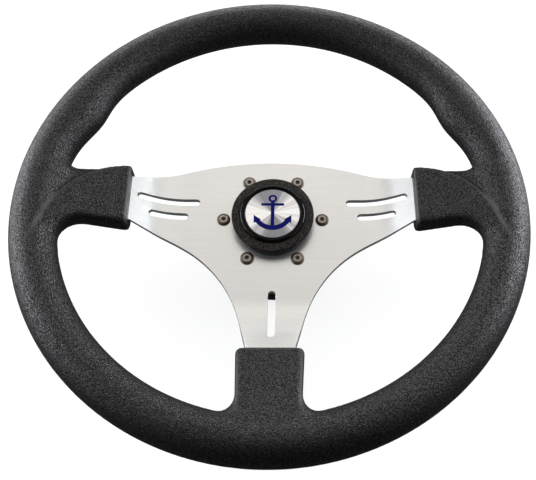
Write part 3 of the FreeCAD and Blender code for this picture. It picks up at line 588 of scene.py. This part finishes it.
def gripTree():
    kinds = dict.fromkeys(gripSizes, "Float") | {"Material": "Material"}
    graph, size, identifiers = newTree("gripMoulding", kinds)
    larger, smaller, length = graph.larger, graph.smaller, graph.length

    def roundUnion(a, b, radius):
        # two solids with a fillet between them
        return larger(radius, smaller(a, b)) - length(larger(radius - a, 0.0), larger(radius - b, 0.0))

    def roundCommon(a, b, radius):
        # what two solids share, its edge rounded
        return smaller(-radius, larger(a, b)) + length(larger(a + radius, 0.0), larger(b + radius, 0.0))

    def choose(test, yes, no):
        return no + (yes - no) * test

    def between(value, low, high):
        # 0 at low and 1 at high
        return smaller(larger((value - low) / (high - low), 0.0), 1.0)

    position = graph.add("GeometryNodeInputPosition")
    allX, allY, allZ = graph.axes(position)
    x = graph.calc("ABSOLUTE", allX) * 1000
    y = allY * 1000
    z = (allZ - plateTop) * 1000
    around = length(x, y)

    # the rim, its inner half deeper where a thumb swell stands in
    angle = graph.calc("ARCTAN2", y, x) * math.degrees(1)
    away = (angle - size["Swell angle"]) / size["Swell spread"]
    bulge = size["Swell depth"] * graph.calc("EXPONENT", -(away * away))
    outwards = around - size["Rim radius"]
    squeeze = size["Rim section"] / (size["Rim section"] + bulge)
    across = larger(outwards, 0.0) + smaller(outwards, 0.0) * squeeze
    up = z - size["Rim plane"]
    rim = length(across, up) - size["Rim section"]

    def slab(reach, mouth, frontRise):
        run = reach - mouth
        front = (z - size["Front at mouth"] - run * frontRise) * slant["front"]
        back = (size["Back at mouth"] + run * size["Back rise"] - z) * slant["back"]
        return front, back, -run

    def layer(front, back, wall, edge):
        return larger(roundCommon(front, wall, edge), roundCommon(back, wall, edge))

    # the right socket, and by the mirrored x the left one
    near = roundUnion(-(y + size["Near wall"]), rim, size["Near flare"])
    low = size["Near wall"] + size["Near flare"] + size["Flare margin"]
    near = larger(near, larger(around - size["Flare end"], -(y + low)))
    taper = size["Far taper"] * math.radians(1)
    sine, cosine = graph.calc("SINE", taper), graph.calc("COSINE", taper)
    crestX = size["Mouth"] + size["Crest run"]
    crestY = size["Far wall"] - size["Crest run"] * sine / cosine
    farLine = (x - crestX) * sine + (y - crestY) * cosine
    centreX = crestX - size["Crest radius"] * sine
    centreY = crestY - size["Crest radius"] * cosine
    turn = size["Crest turn"] * math.radians(1)
    turnSine, turnCosine = graph.calc("SINE", turn), graph.calc("COSINE", turn)
    arc = length(x - centreX, y - centreY) - size["Crest radius"]
    outerLine = (x - centreX) * turnSine + (y - centreY) * turnCosine - size["Crest radius"]
    pastTurn = ((x - centreX) * turnCosine - (y - centreY) * turnSine) > 0.0
    pastLine = ((x - crestX) * cosine - (y - crestY) * sine) > 0.0
    crest = choose(pastLine, choose(pastTurn, outerLine, arc), farLine)
    front, back, mouth = slab(x, size["Mouth"], size["Front rise"])
    faceFront, faceMouth = front, mouth
    face = layer(front, back, near, size["Edge round"])
    face = roundCommon(face, crest, size["Crest round"])
    lowPart = between(y, size["Low corner"] + size["Corner run"], size["Low corner"])
    highPart = between(y, size["High corner"] - size["Corner run"], size["High corner"])
    lip = size["Lip round"] * (1.0 + lowPart * size["Low share"] + highPart * size["High share"])
    face = roundCommon(face, mouth, lip)

    # the valley between the crest and the rim
    start = crestX - size["Valley lead"]
    depth = size["Valley drop"] * slant["front"] * between(x, start, crestX + size["Valley run"])
    valley = layer(front + depth, back, farLine, size["Edge round"])
    valley = larger(valley, -(y + size["Near wall"] - size["Valley inset"]))
    valley = larger(valley, larger(start - x, around - size["Valley end"]))
    widening = between(y, size["Foot from"], size["Foot to"]) * (size["Far flare"] - size["Valley foot"])
    valley = roundUnion(valley, rim, size["Valley foot"] + widening)
    side = roundUnion(face, valley, size["Crest foot"])

    # the bottom socket
    front, back, mouth = slab(-y, size["Leg mouth"], size["Leg front rise"])
    wall = x - size["Leg half width"] - mouth * graph.calc("TANGENT", size["Leg taper"] * math.radians(1))
    legWall, legMouth = wall, mouth
    reach = size["Leg half width"] + size["Leg flare"] + size["Flare margin"]
    wall = larger(roundUnion(wall, rim, size["Leg flare"]), larger(around - size["Leg end"], x - reach))
    leg = layer(front, back, wall, size["Edge round"])
    corner = between(x, size["Leg corner"] - size["Leg corner run"], size["Leg corner"])
    leg = roundCommon(leg, mouth, size["Lip round"] * (1.0 + corner * size["Leg share"]))

    # behind, the sockets run into the rim in a fillet
    fillet = size["Front fillet"] + between(-up, 0.0, size["Fillet run"]) * size["Back fillet"]
    grip = roundUnion(smaller(side, leg), rim, fillet)
    low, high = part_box("grip")
    margin = gripMargin * mm
    cube = {"Density": -grip, "Background": -1.0}
    cube["Min"] = [low[n] - margin for n in range(3)]
    cube["Max"] = [high[n] + margin for n in range(3)]
    for n, axis in enumerate("XYZ"):
        cube["Resolution " + axis] = round((high[n] - low[n] + 2 * margin) / gripVoxel / mm)
    volume = graph.add("GeometryNodeVolumeCube", cube)
    surface = graph.add("GeometryNodeVolumeToMesh", {"Volume": volume, "Threshold": 0.0})

    # painted highlight: the crest, the lips of the mouths and the sides of the bottom socket are marked
    # for a lighter, glossier colour
    def beside(distance, reach):
        return larger(1.0 - graph.calc("ABSOLUTE", distance) / reach, 0.0)

    edgeLight = gripPaintedEdges
    ridge = beside(crest, edgeLight["width"]) * between(faceFront, *edgeLight["ridgeDepth"])
    ridge = ridge * between(x, *[crestX + run for run in edgeLight["ridgeStart"]])
    ridge = ridge * (1.0 - between(around, *edgeLight["ridgeEnd"])) * edgeLight["ridge"]
    inMouth = around < edgeLight["mouthRing"]
    sideLip = beside(faceMouth + edgeLight["lipInset"], edgeLight["lipWidth"]) * (y > edgeLight["sideLow"]) * inMouth
    legLip = beside(legMouth + edgeLight["lipInset"], edgeLight["lipWidth"]) * (x < edgeLight["legSide"]) * inMouth
    legSide = beside(legWall + edgeLight["sideInset"], edgeLight["sideWidth"]) * (y < edgeLight["legTop"])
    legSide = legSide * (1.0 - between(around, *edgeLight["sideEnd"]))
    rubbed = smaller(larger(larger(ridge, sideLip), larger(legLip, legSide)), 1.0)
    mark = {"Geometry": surface, "Name": "rubbed", "Value": rubbed}
    marked = graph.add("GeometryNodeStoreNamedAttribute", mark, data_type="FLOAT", domain="POINT")
    shaded = graph.add("GeometryNodeSetShadeSmooth", {"Geometry": marked})
    closeTree(graph, shaded, size["Material"])
    return graph.tree, identifiers


def buildGrip():
    tree, identifiers = gripTree()
    material = gripMaterial()
    mesh = runTree("grip", tree, identifiers, dict(gripSizes, Material=material))
    thing = newObject("gripMoulding", mesh, material)
    declare(thing, "grip_moulding", "grip")
    print("grip", len(mesh.polygons), "faces")


# Spoke plate

plateSizes = {
    "thick": 4.0,
    "centreHole": 18.0,
    "bendStart": 62.0,
    "bendRadius": 52.0,
    "bendAngle": 30.0,
    "crankStart": 103.0,
    "crankRadius": 25.0,
    "tongueEnd": 157.0,
    "tongueWidth": 16.0,
    "tongueOffset": 10.0,
    "shoulderStart": 108.0,
    "shoulderEnd": 120.0,
    "crown": 47.4,
    "crownRadius": 225.0,
    "crownReach": 62.0,
    "crownDrop": 8.7,
    "mouth": 99.0,
    "armHigh": 27.5,
    "armLow": 7.0,
    "armSlope": 22.0,
    "legHalf": 16.1,
    "legSlope": 76.0,
    "webRadius": 88.0,
    "slotWidth": 5.2,
    "highSlot": (52.4, 96.3, 13.8),
    "lowSlot": (60.2, 88.2, 2.4),
    "legSlot": (54.6, 91.1),
    "screwHole": 2.75,
    "edgeRound": 0.25,
    "longestSide": 3.0,  # so that the bends can follow
    "grid": 3.01,
}
# face of the flat centre: the arms rise from it, so the node's box starts at the plate's back
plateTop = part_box("spoke_plate")[0][2] + plateSizes["thick"] * mm


def armPath():
    # height and slope of an arm's middle over the distance from the axis
    size = plateSizes
    bend = math.radians(size["bendAngle"])
    bendOut = size["bendStart"] + size["bendRadius"] * math.sin(bend)
    bendUp = size["bendRadius"] * (1 - math.cos(bend))
    crankUp = bendUp + (size["crankStart"] - bendOut) * math.tan(bend)
    target = gripSizes["Rim plane"] + size["thick"] / 2

    def afterCrank(angle):
        out = size["crankStart"] + size["crankRadius"] * (math.sin(bend) - math.sin(angle))
        up = crankUp + size["crankRadius"] * (math.cos(angle) - math.cos(bend))
        return out, up

    low, high = -bend, bend
    for _ in range(40):
        tongue = (low + high) / 2
        out, up = afterCrank(tongue)
        if up + (size["tongueEnd"] - out) * math.tan(tongue) > target:
            high = tongue
        else:
            low = tongue

    def follow(reach):
        if reach < size["bendStart"]:
            return 0.0, 0.0
        if reach < bendOut:
            slope = math.asin((reach - size["bendStart"]) / size["bendRadius"])
            return size["bendRadius"] * (1 - math.cos(slope)), slope
        if reach < size["crankStart"]:
            return bendUp + (reach - bendOut) * math.tan(bend), bend
        if reach < out:
            slope = math.asin(math.sin(bend) - (reach - size["crankStart"]) / size["crankRadius"])
            return crankUp + size["crankRadius"] * (math.cos(slope) - math.cos(bend)), slope
        return up + (reach - out) * math.tan(tongue), tongue

    return follow


def plateOutline():
    size = plateSizes
    mouth, legHalf, armLow = size["mouth"], size["legHalf"], size["armLow"]
    arm, leg = math.radians(size["armSlope"]), math.radians(size["legSlope"])
    armTan, legTan = math.tan(arm), math.tan(leg)
    # the web rounds the corner where the edges of an arm and of the bottom arm would meet
    cornerX = (mouth * armTan + armLow - mouth - legHalf * legTan) / (armTan - legTan)
    cornerY = cornerX * armTan - mouth * armTan - armLow
    tangent = size["webRadius"] * math.tan(math.radians(size["legSlope"] - size["armSlope"]) / 2)
    webArm = (cornerX + tangent * math.cos(arm), cornerY + tangent * math.sin(arm))
    webLeg = (cornerX - tangent * math.cos(leg), cornerY - tangent * math.sin(leg))
    half = size["tongueWidth"] / 2
    high, low = size["tongueOffset"] + half, size["tongueOffset"] - half
    shoulder, neck, end = size["shoulderStart"], size["shoulderEnd"], size["tongueEnd"]
    edge = size["crown"] - size["crownDrop"]
    fall = (edge - size["armHigh"]) / (mouth - size["crownReach"])
    right = arcPoints((0, size["crown"]), (size["crownReach"], edge), size["crownRadius"], False, 1)
    right += [(size["crownReach"], edge), (mouth, size["armHigh"])]
    right += [(shoulder, size["armHigh"] - (shoulder - mouth) * fall), (neck, high), (end, high)]
    right += [(end, low), (neck, low), (shoulder, -armLow), (mouth, -armLow)]
    right += arcPoints(webArm, webLeg, size["webRadius"], True, 2) + [webLeg, (legHalf, -mouth)]
    right += [(legHalf, -shoulder), (half, -neck), (half, -end)]
    left = [(-x, y) for x, y in reversed(right) if x > 1e-6]
    return split(right + left, size["longestSide"])


def slotPoints(start, end, middle):
    half = plateSizes["slotWidth"] / 2
    turns = [math.pi * n / 12 for n in range(13)]
    tip = [(end - half + half * math.sin(turn), middle - half * math.cos(turn)) for turn in turns]
    root = [(start + half - half * math.sin(turn), middle + half * math.cos(turn)) for turn in turns]
    return split(tip + root, plateSizes["longestSide"])


def buildPlate():
    size = plateSizes
    follow = armPath()
    middle = plateTop / mm - size["thick"] / 2

    def shape(x, y, offset):
        # side arms follow x, the bottom arm follows y
        if -y > size["bendStart"] and -y > abs(x):
            height, slope = follow(-y)
            inwards = math.sin(slope) * offset
            return Vector((x, y + inwards, middle + height + math.cos(slope) * offset)) * mm
        height, slope = follow(abs(x))
        inwards = math.copysign(math.sin(slope) * offset, x)
        return Vector((x - inwards, y, middle + height + math.cos(slope) * offset)) * mm

    high, low = slotPoints(*size["highSlot"]), slotPoints(*size["lowSlot"])
    legStart, legEnd = size["legSlot"]
    leg = [(py, -px) for px, py in slotPoints(legStart, legEnd, 0.0)]
    holes = [high, low, [(-px, py) for px, py in high], [(-px, py) for px, py in low], leg]
    holes.append(circlePoints(0, 0, size["centreHole"], 72))
    seats = circlePoints(0, 0, screwSizes["circle"], screwSizes["count"])
    holes += [circlePoints(x, y, size["screwHole"], 24) for x, y in seats]
    outline = plateOutline()
    reach, top = int(size["tongueEnd"] / size["grid"]), int(size["crown"] / size["grid"]) + 1
    grid = [(column * size["grid"], row * size["grid"])
            for column in range(-reach, reach + 1) for row in range(-reach, top + 1)]
    inner = [point for point in grid if insideLoop(point, outline) and not insideAny(point, holes)]
    mesh = sheetMesh("spokePlate", [outline], holes, inner, shape, size["thick"])
    thing = newObject("spokePlate", mesh, plateMaterial(), 40)
    bevelEdges(thing, size["edgeRound"] * mm)
    declare(thing, "brushed_aluminium", "spoke_plate")
    print("plate", len(mesh.polygons), "faces")


# Screws

screwFinishAndPaintedRing = {
    "bright": (0.52, 0.47, 0.42, 1),
    "dark": (0.085, 0.068, 0.055, 1),
    "grain": 1500,
    "ring": [(0.3, 0.0), (0.36, 1.0), (0.56, 0.8), (0.68, 0.1), (0.9, 0.1), (1.0, 0.3)],  # painted highlight ring over the radius, painted shade in the hexagon
    "stain": [(0.35, 0.0), (0.6, 1.0)],
    "least": 0.35,
    "shader": {"Metallic": 0.85, "Roughness": 0.42},
}
screwSizes = {
    "circle": 35.0,
    "count": 6,
    "turn": 12.0,  # how far each hexagon is turned from the last one
    "head": 4.75,
    "headHeight": 1.85,
    "headRim": 0.45,
    "hexAcross": 3.0,
    "hexDepth": 1.2,
    "thread": 2.5,
    "length": 16.0,
    "pitch": 0.8,
    "smooth": 2.0,  # of the shank, without thread
    "tipIn": 0.5,
    "threadDepth": 0.42,
    "tip": 0.6,
    "underside": 0.15,
    "flat": 0.35,
    "hexEdge": 0.12,
    "drillTip": 0.4,
}


def screwMaterial():
    # stainless steel with its reflection painted in: a painted highlight ring round the hexagon, painted
    # shade in the hexagon, darker over the rest of the head
    look = screwFinishAndPaintedRing
    material, graph, shader, place = newMaterial("stainless", look["shader"])
    x, y, _ = graph.axes(place)
    sector = math.tau / screwSizes["count"]
    turn = graph.calc("ARCTAN2", y, x)
    turn = turn - graph.calc("ROUND", turn / sector) * sector
    radius = graph.length(x, y)
    across = radius * graph.calc("COSINE", turn) - screwSizes["circle"] * mm
    reach = graph.length(across, radius * graph.calc("SINE", turn)) / (screwSizes["head"] * mm)
    stain = graph.ramp(graph.noise(place, look["grain"], 2), look["stain"])
    # painted reflection: the bright ring and the dark hexagon, dimmed at random stains
    paintedRing = graph.ramp(reach, look["ring"]) * (look["least"] + stain * (1 - look["least"]))
    graph.feed(shader.inputs["Base Color"], graph.blendColour(paintedRing, look["dark"], look["bright"]))
    return material


def screwMesh():
    # one screw on the origin, the underside of its head at height 0
    size = screwSizes
    rise = size["headHeight"] - size["headRim"]
    dome = ellipse(0, size["headRim"], size["head"], rise, [math.radians(a) for a in range(0, 51, 5)])
    top = dome[-1][1]
    hexRadius = size["hexAcross"] / 2 / math.cos(math.pi / 6)
    flat = hexRadius + size["flat"]
    threadStart = size["tip"] - size["length"]
    profile = [(0, -size["length"]), (size["thread"] - size["tipIn"], -size["length"])]
    profile += [(size["thread"], threadStart)]
    turns = int((size["length"] - size["smooth"]) / size["pitch"])
    for n in range(turns):
        height = threadStart + size["pitch"] * n
        profile += [(size["thread"] - size["threadDepth"], height + size["pitch"] / 2)]
        profile += [(size["thread"], height + size["pitch"])]
    profile += [(size["thread"], 0), (size["head"] - size["underside"], 0)]
    profile += [(size["head"], size["underside"])] + dome + [(flat, top)]
    steps = 48
    bm = bmesh.new()

    def ring(radius, height, hexagonal=False):
        verts = []
        for n in range(steps):
            turn = 2 * math.pi * n / steps
            reach = radius
            if hexagonal:
                reach = radius * math.cos(math.pi / 6) / math.cos((turn % (math.pi / 3)) - math.pi / 6)
            place = (reach * math.cos(turn) * mm, reach * math.sin(turn) * mm, height * mm)
            verts.append(bm.verts.new(place))
        return verts

    rings = [ring(radius, height) for radius, height in profile if radius > 0]
    rings += [ring(hexRadius + size["hexEdge"], top, True), ring(hexRadius, top - size["hexEdge"], True)]
    rings += [ring(hexRadius, top - size["hexDepth"], True)]
    for low, high in zip(rings, rings[1:]):
        for n in range(steps):
            m = (n + 1) % steps
            bm.faces.new((low[n], low[m], high[m], high[n]))
    bottom = bm.verts.new((0, 0, -size["length"] * mm))
    floor = bm.verts.new((0, 0, (top - size["hexDepth"] - size["drillTip"]) * mm))
    for n in range(steps):
        m = (n + 1) % steps
        bm.faces.new((rings[0][m], rings[0][n], bottom))
        bm.faces.new((rings[-1][n], rings[-1][m], floor))
    return closeMesh(bm, "screw")


def screwTree():
    # screws on a circle, each hexagon at its own turn
    kinds = {"Screw": "Object", "Count": "Int", "Circle": "Float", "Height": "Float", "Turn": "Float",
             "Material": "Material"}
    graph, given, identifiers = newTree("screwCircle", kinds)
    circle = graph.add("GeometryNodeMeshCircle", {"Vertices": given["Count"], "Radius": given["Circle"]})
    lifted = {"Geometry": circle, "Offset": graph.joined(z=given["Height"])}
    seats = graph.add("GeometryNodeSetPosition", lifted)
    screw = graph.add("GeometryNodeObjectInfo", {"Object": given["Screw"]}, "Geometry")
    index = graph.add("GeometryNodeInputIndex")
    spin = graph.joined(z=index * given["Turn"] * math.radians(1))
    copies = {"Points": seats, "Instance": screw, "Rotation": spin}
    placed = graph.add("GeometryNodeInstanceOnPoints", copies)
    closeTree(graph, placed, given["Material"])
    return graph.tree, identifiers


def buildScrews():
    material = screwMaterial()
    pattern = newObject("screwPattern", screwMesh(), material)
    tree, identifiers = screwTree()
    values = {"Screw": pattern, "Count": screwSizes["count"], "Circle": screwSizes["circle"] * mm,
              "Height": plateTop, "Turn": screwSizes["turn"], "Material": material}
    mesh = runTree("hubScrews", tree, identifiers, values)
    bpy.data.objects.remove(pattern)
    thing = newObject("hubScrews", mesh, material, 38)
    declare(thing, "stainless", "hub_screws")
    print("screws", len(mesh.polygons), "faces")


# Cap

capFinishes = {
    "black": {"base": (0.004, 0.004, 0.0045, 1), "roughness": 0.3, "specular": 0.35, "grain": 1500,
              "depth": 0.00025, "lighter": 2.0},
    "matt": {"base": (0.0055, 0.0046, 0.0042, 1), "roughness": 0.6, "specular": 0.12, "grain": 950,
             "depth": 0.0006, "lighter": 10.0},
    "blue": {"base": (0.0012, 0.003, 0.095, 1), "roughness": 0.4, "specular": 0.08, "grain": 400,
             "depth": 0.00001, "lighter": 1.5},
}
capSizes = {
    "collar": 28.2,
    "collarHeight": 6.2,
    "spigot": 17.7,
    "spigotLength": 9.0,
    "skin": 2.2,
    "seat": 8.6,
    "ring": 28.9,
    "ringEdge": 2.5,
    "ringRise": 0.8,
    "bezelOut": 22.9,
    "bezelIn": 19.1,
    "bezelTop": 10.8,
    "disc": 19.0,
    "discEdge": 1.4,
    "dome": 0.5,
    "collarRound": 0.4,
    "ringRound": 0.5,
    "ringBevel": (0.5, 0.3),
    "ringGap": 0.1,
    "bead": 1.3,
}


def cornered(profile, radius):
    # a profile with its corners rounded, apart from those on the axis
    steps = 4
    points = []
    for n, here in enumerate(profile):
        before, after = profile[n - 1], profile[(n + 1) % len(profile)]
        if here[0] < 1e-9:
            points.append(here)
            continue
        here = Vector(here)
        to, fro = Vector(before) - here, Vector(after) - here
        cut = min(radius, to.length * 0.45, fro.length * 0.45)
        first, last = here + to.normalized() * cut, here + fro.normalized() * cut
        for share in [m / steps for m in range(steps + 1)]:
            point = (1 - share) ** 2 * first + 2 * share * (1 - share) * here + share ** 2 * last
            points.append(tuple(point))
    return points


def turned(name, profile, material, slot, node):
    declare(newObject(name, lathe(name, profile), material, 40), slot, node)


def buildCap():
    size = capSizes
    base = plateTop / mm
    seat = base + size["seat"]
    spigot = size["spigot"]
    collarTop = base + size["collarHeight"]
    inner, roof, foot = spigot - size["skin"], seat - size["skin"], base - size["spigotLength"]
    profile = [(0, roof), (inner, roof), (inner, foot), (spigot, foot), (spigot, base)]
    profile += [(size["collar"], base), (size["collar"], collarTop), (size["bezelOut"], collarTop)]
    profile += [(size["bezelOut"], seat), (0, seat)]
    black = plainMaterial("capBlack", capFinishes["black"])
    turned("capCollar", cornered(profile, size["collarRound"]), black, "cap_black", "cap_base")

    ringTop = collarTop + size["ringEdge"]
    bevelIn, bevelDown = size["ringBevel"]
    inside = size["bezelOut"] + size["ringGap"]
    profile = [(inside, collarTop), (size["ring"], collarTop), (size["ring"], ringTop - bevelDown)]
    profile += [(size["ring"] - bevelIn, ringTop), (inside, ringTop + size["ringRise"])]
    matt = plainMaterial("capMatt", capFinishes["matt"])
    turned("capRing", cornered(profile, size["ringRound"]), matt, "cap_matt", "cap_ring")

    middle = (size["bezelOut"] + size["bezelIn"]) / 2
    half = (size["bezelOut"] - size["bezelIn"]) / 2
    crown = base + size["bezelTop"] - size["bead"]
    bead = ellipse(middle, crown, half, size["bead"], [math.radians(a) for a in range(0, 181, 10)])
    profile = [(size["bezelIn"], seat), (size["bezelOut"], seat)] + bead
    turned("capBezel", profile, bezelMaterial(), "cap_gloss", "cap_bezel")

    def domeHeight(radius):
        return seat + size["discEdge"] + size["dome"] * (1 - (radius / size["disc"]) ** 2)

    top = [(radius, domeHeight(radius)) for radius in [size["disc"] * n / 12 for n in range(12, -1, -1)]]
    profile = [(0, seat), (size["disc"], seat)] + top
    turned("emblemDisc", profile, discMaterial(), "spun_metal", "emblem_disc")
    buildAnchor(domeHeight)
    print("cap")


anchorSizes = {
    "eyeHeight": 11.6,
    "eyeOut": 3.1,
    "eyeIn": 1.55,
    "stockHeight": 6.8,
    "stockHalf": 8.0,
    "stockThick": 1.9,
    "shankHalf": 1.25,
    "armOut": 14.2,
    "armIn": 11.4,
    "armCentre": 0.9,
    "armTurn": 62.0,
    "flukeLong": 5.6,
    "flukeWide": 2.8,
    "thick": 0.16,
    "shankFoot": 0.5,
    "shankGap": 0.3,
    "armPinch": 0.99,
    "armLift": 0.7,
    "flukeFoot": 1.6,
    "longestSide": 0.8,
}


def buildAnchor(domeHeight):
    # a generic anchor in dark blue on the disc
    size = anchorSizes
    centre = size["armCentre"]
    eye = circlePoints(0, size["eyeHeight"], size["eyeOut"], 32)
    eyeHole = circlePoints(0, size["eyeHeight"], size["eyeIn"], 24)

    def bar(half, low, high):
        return [(-half, low), (half, low), (half, high), (-half, high)]

    lift = size["stockThick"] / 2
    stock = bar(size["stockHalf"], size["stockHeight"] - lift, size["stockHeight"] + lift)
    shankTop = size["eyeHeight"] - size["eyeIn"] - size["shankGap"]
    shank = bar(size["shankHalf"], centre - size["armOut"] + size["shankFoot"], shankTop)
    turns = [math.radians(-90 + size["armTurn"] * n / 16) for n in range(-16, 17)]
    arms = ellipse(0, centre, size["armOut"], size["armOut"], turns)
    pinched = size["armIn"] * size["armPinch"]
    arms += ellipse(0, centre + size["armLift"], pinched, size["armIn"], turns[::-1])
    shapes = [eye, stock, shank, arms]
    armMiddle = (size["armOut"] + size["armIn"]) / 2
    for side in (-1, 1):
        end = math.radians(-90 + side * size["armTurn"])
        across = Vector((math.cos(end), math.sin(end)))
        along = Vector((-math.sin(end), math.cos(end))) * side
        middle = Vector((armMiddle * math.cos(end), centre + armMiddle * math.sin(end)))
        foot = middle - along * size["flukeFoot"]
        tip = middle + along * (size["flukeLong"] - size["flukeFoot"])
        fluke = [foot - across * size["flukeWide"], foot + across * size["flukeWide"], tip]
        shapes.append([tuple(point) for point in (fluke if side > 0 else reversed(fluke))])
    shapes = [split(loop, size["longestSide"]) for loop in shapes]

    def shape(x, y, offset):
        return Vector((x, y, domeHeight(math.hypot(x, y)) + offset + size["thick"] / 4)) * mm

    mesh = sheetMesh("anchor", shapes, [eyeHole], [], shape, size["thick"])
    blue = plainMaterial("emblemBlue", capFinishes["blue"])
    thing = newObject("anchorEmblem", mesh, blue, 40)
    declare(thing, "spun_metal")


# Hub

hubEdge = 0.4  # width of its broken edges
hubFinishes = {
    "black": {"base": (0.012, 0.012, 0.013, 1), "roughness": 0.5, "specular": 0.45, "grain": 1300,
              "depth": 0.00015, "lighter": 1.6},
    "steel": {"base": (0.06, 0.06, 0.062, 1), "roughness": 0.45, "specular": 0.5, "grain": 700,
              "depth": 0.00005, "lighter": 1.6},
}


def buildHub():
    black = plainMaterial("hubBlack", hubFinishes["black"])
    thing = mergedCopy("hub", "hubBody", black, hubEdge * mm)
    declare(thing, "hub_black", "hub")
    steel = plainMaterial("hoopSteel", hubFinishes["steel"])
    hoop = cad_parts["rim_hoop"]
    hoop.data.materials.clear()
    hoop.data.materials.append(steel)
    print("hub")


# Stage

stageSizes = {
    "floorSize": 6.0,
    "floorGlow": 0.8,
    "floorPale": (0.3, 0.3, 0.3, 1),
    "floorMatt": (0.12, 0.12, 0.12, 1),
    "ambient": 0.05,
    "lens": 48.1,
    "shift": -0.0719,
    "cameraPlace": (0.0133, -0.2399, 0.5107),
    "cameraTurn": (26.43, -1.168, -0.348),
    "aim": (0, 0, 0.07),
    # place, width, height, strength and warmth of each light
    "panels": {
        "overheadPanel": ((0, 0.55, 1.15), 1.2, 0.7, 1.04, 0.05),
        "backPanel": ((0, 1.1, 0.8), 1.4, 0.7, 0.78, 0.05),
        "backLowPanel": ((0, 1.2, 0.28), 1.6, 0.5, 1.02, 0.03),
        "backStrip": ((0, 0.9, 0.08), 1.2, 0.15, 9.07, 0.0),
        "leftPanel": ((-1.0, 0.17, 0.3), 0.8, 0.5, 5.9, -0.04),
        "rightPanel": ((1.0, 0, 0.3), 1.2, 0.5, 0.22, -0.04),
        "leftHighPanel": ((-0.85, 0, 0.85), 1.2, 0.6, 1.24, 0.0),
        "rightHighPanel": ((0.85, 0, 0.85), 1.2, 0.6, 1.01, 0.0),
        "leftSidePanel": ((-0.95, 0.5, 0.3), 0.7, 0.5, 5.31, -0.04),
        "rightSidePanel": ((0.95, 0.5, 0.3), 0.7, 0.5, 12.9, -0.04),
        "leftStrip": ((-0.75, 0.42, 0.09), 0.7, 0.16, 4.81, -0.04),
        "rightStrip": ((0.75, 0.42, 0.09), 0.7, 0.16, 8.51, -0.04),
    },
}


def areaLight(name, place, width, height, strength, warmth):
    # a panel that faces the wheel, strength 1 being white
    lamp = bpy.data.lights.new(name, "AREA")
    lamp.shape = "RECTANGLE"
    lamp.size = width
    lamp.size_y = height
    lamp.energy = math.pi * width * height * strength
    lamp.color = (1 + warmth, 1, 1 - warmth)
    thing = bpy.data.objects.new(name, lamp)
    thing.visible_camera = False
    thing.location = place
    towards = Vector(stageSizes["aim"]) - Vector(place)
    thing.rotation_euler = towards.to_track_quat("-Z", "Y").to_euler()
    bpy.context.scene.collection.objects.link(thing)


def buildFloor():
    # white to the camera, with the wheel's shadow, and a duller matt to everything else
    material = bpy.data.materials.new("paleFloor")
    material.use_nodes = True
    graph = Graph(material.node_tree)
    material.node_tree.nodes.clear()
    seen = graph.add("ShaderNodeLightPath", outlet="Is Camera Ray")
    matt = graph.add("ShaderNodeBsdfDiffuse", {"Color": stageSizes["floorMatt"]})
    pale = graph.add("ShaderNodeBsdfDiffuse", {"Color": stageSizes["floorPale"]})
    glow = {"Color": (1, 1, 1, 1), "Strength": stageSizes["floorGlow"]}
    lit = graph.add("ShaderNodeEmission", glow)
    both = graph.add("ShaderNodeAddShader", {0: pale, 1: lit})
    surface = graph.add("ShaderNodeMixShader", {0: seen, 1: matt, 2: both})
    graph.add("ShaderNodeOutputMaterial", {"Surface": surface})
    half = stageSizes["floorSize"] / 2
    mesh = bpy.data.meshes.new("floor")
    corners = [(-half, -half, 0), (half, -half, 0), (half, half, 0), (-half, half, 0)]
    mesh.from_pydata(corners, [], [(0, 1, 2, 3)])
    floor = newObject("floor", mesh, material)


def buildWorld():
    world = bpy.data.worlds.new("studio")
    world.use_nodes = True
    bpy.context.scene.world = world
    graph = Graph(world.node_tree)
    world.node_tree.nodes.clear()
    seen = graph.add("ShaderNodeLightPath", outlet="Is Camera Ray")
    strength = graph.larger(seen, stageSizes["ambient"])
    background = graph.add("ShaderNodeBackground", {"Color": (1, 1, 1, 1), "Strength": strength})
    graph.add("ShaderNodeOutputWorld", {"Surface": background})


def buildStage():
    buildFloor()
    buildWorld()
    for name, panel in stageSizes["panels"].items():
        areaLight(name, *panel)
    data = bpy.data.cameras.new("camera")
    data.lens = stageSizes["lens"]
    data.shift_x = stageSizes["shift"]
    camera = bpy.data.objects.new("camera", data)
    camera.location = stageSizes["cameraPlace"]
    camera.rotation_euler = [math.radians(a) for a in stageSizes["cameraTurn"]]
    bpy.context.scene.collection.objects.link(camera)
    bpy.context.scene.camera = camera
    bpy.context.scene.view_settings.view_transform = "Standard"
    print("stage")


buildGrip()
buildPlate()
buildScrews()
buildCap()
buildHub()
buildStage()
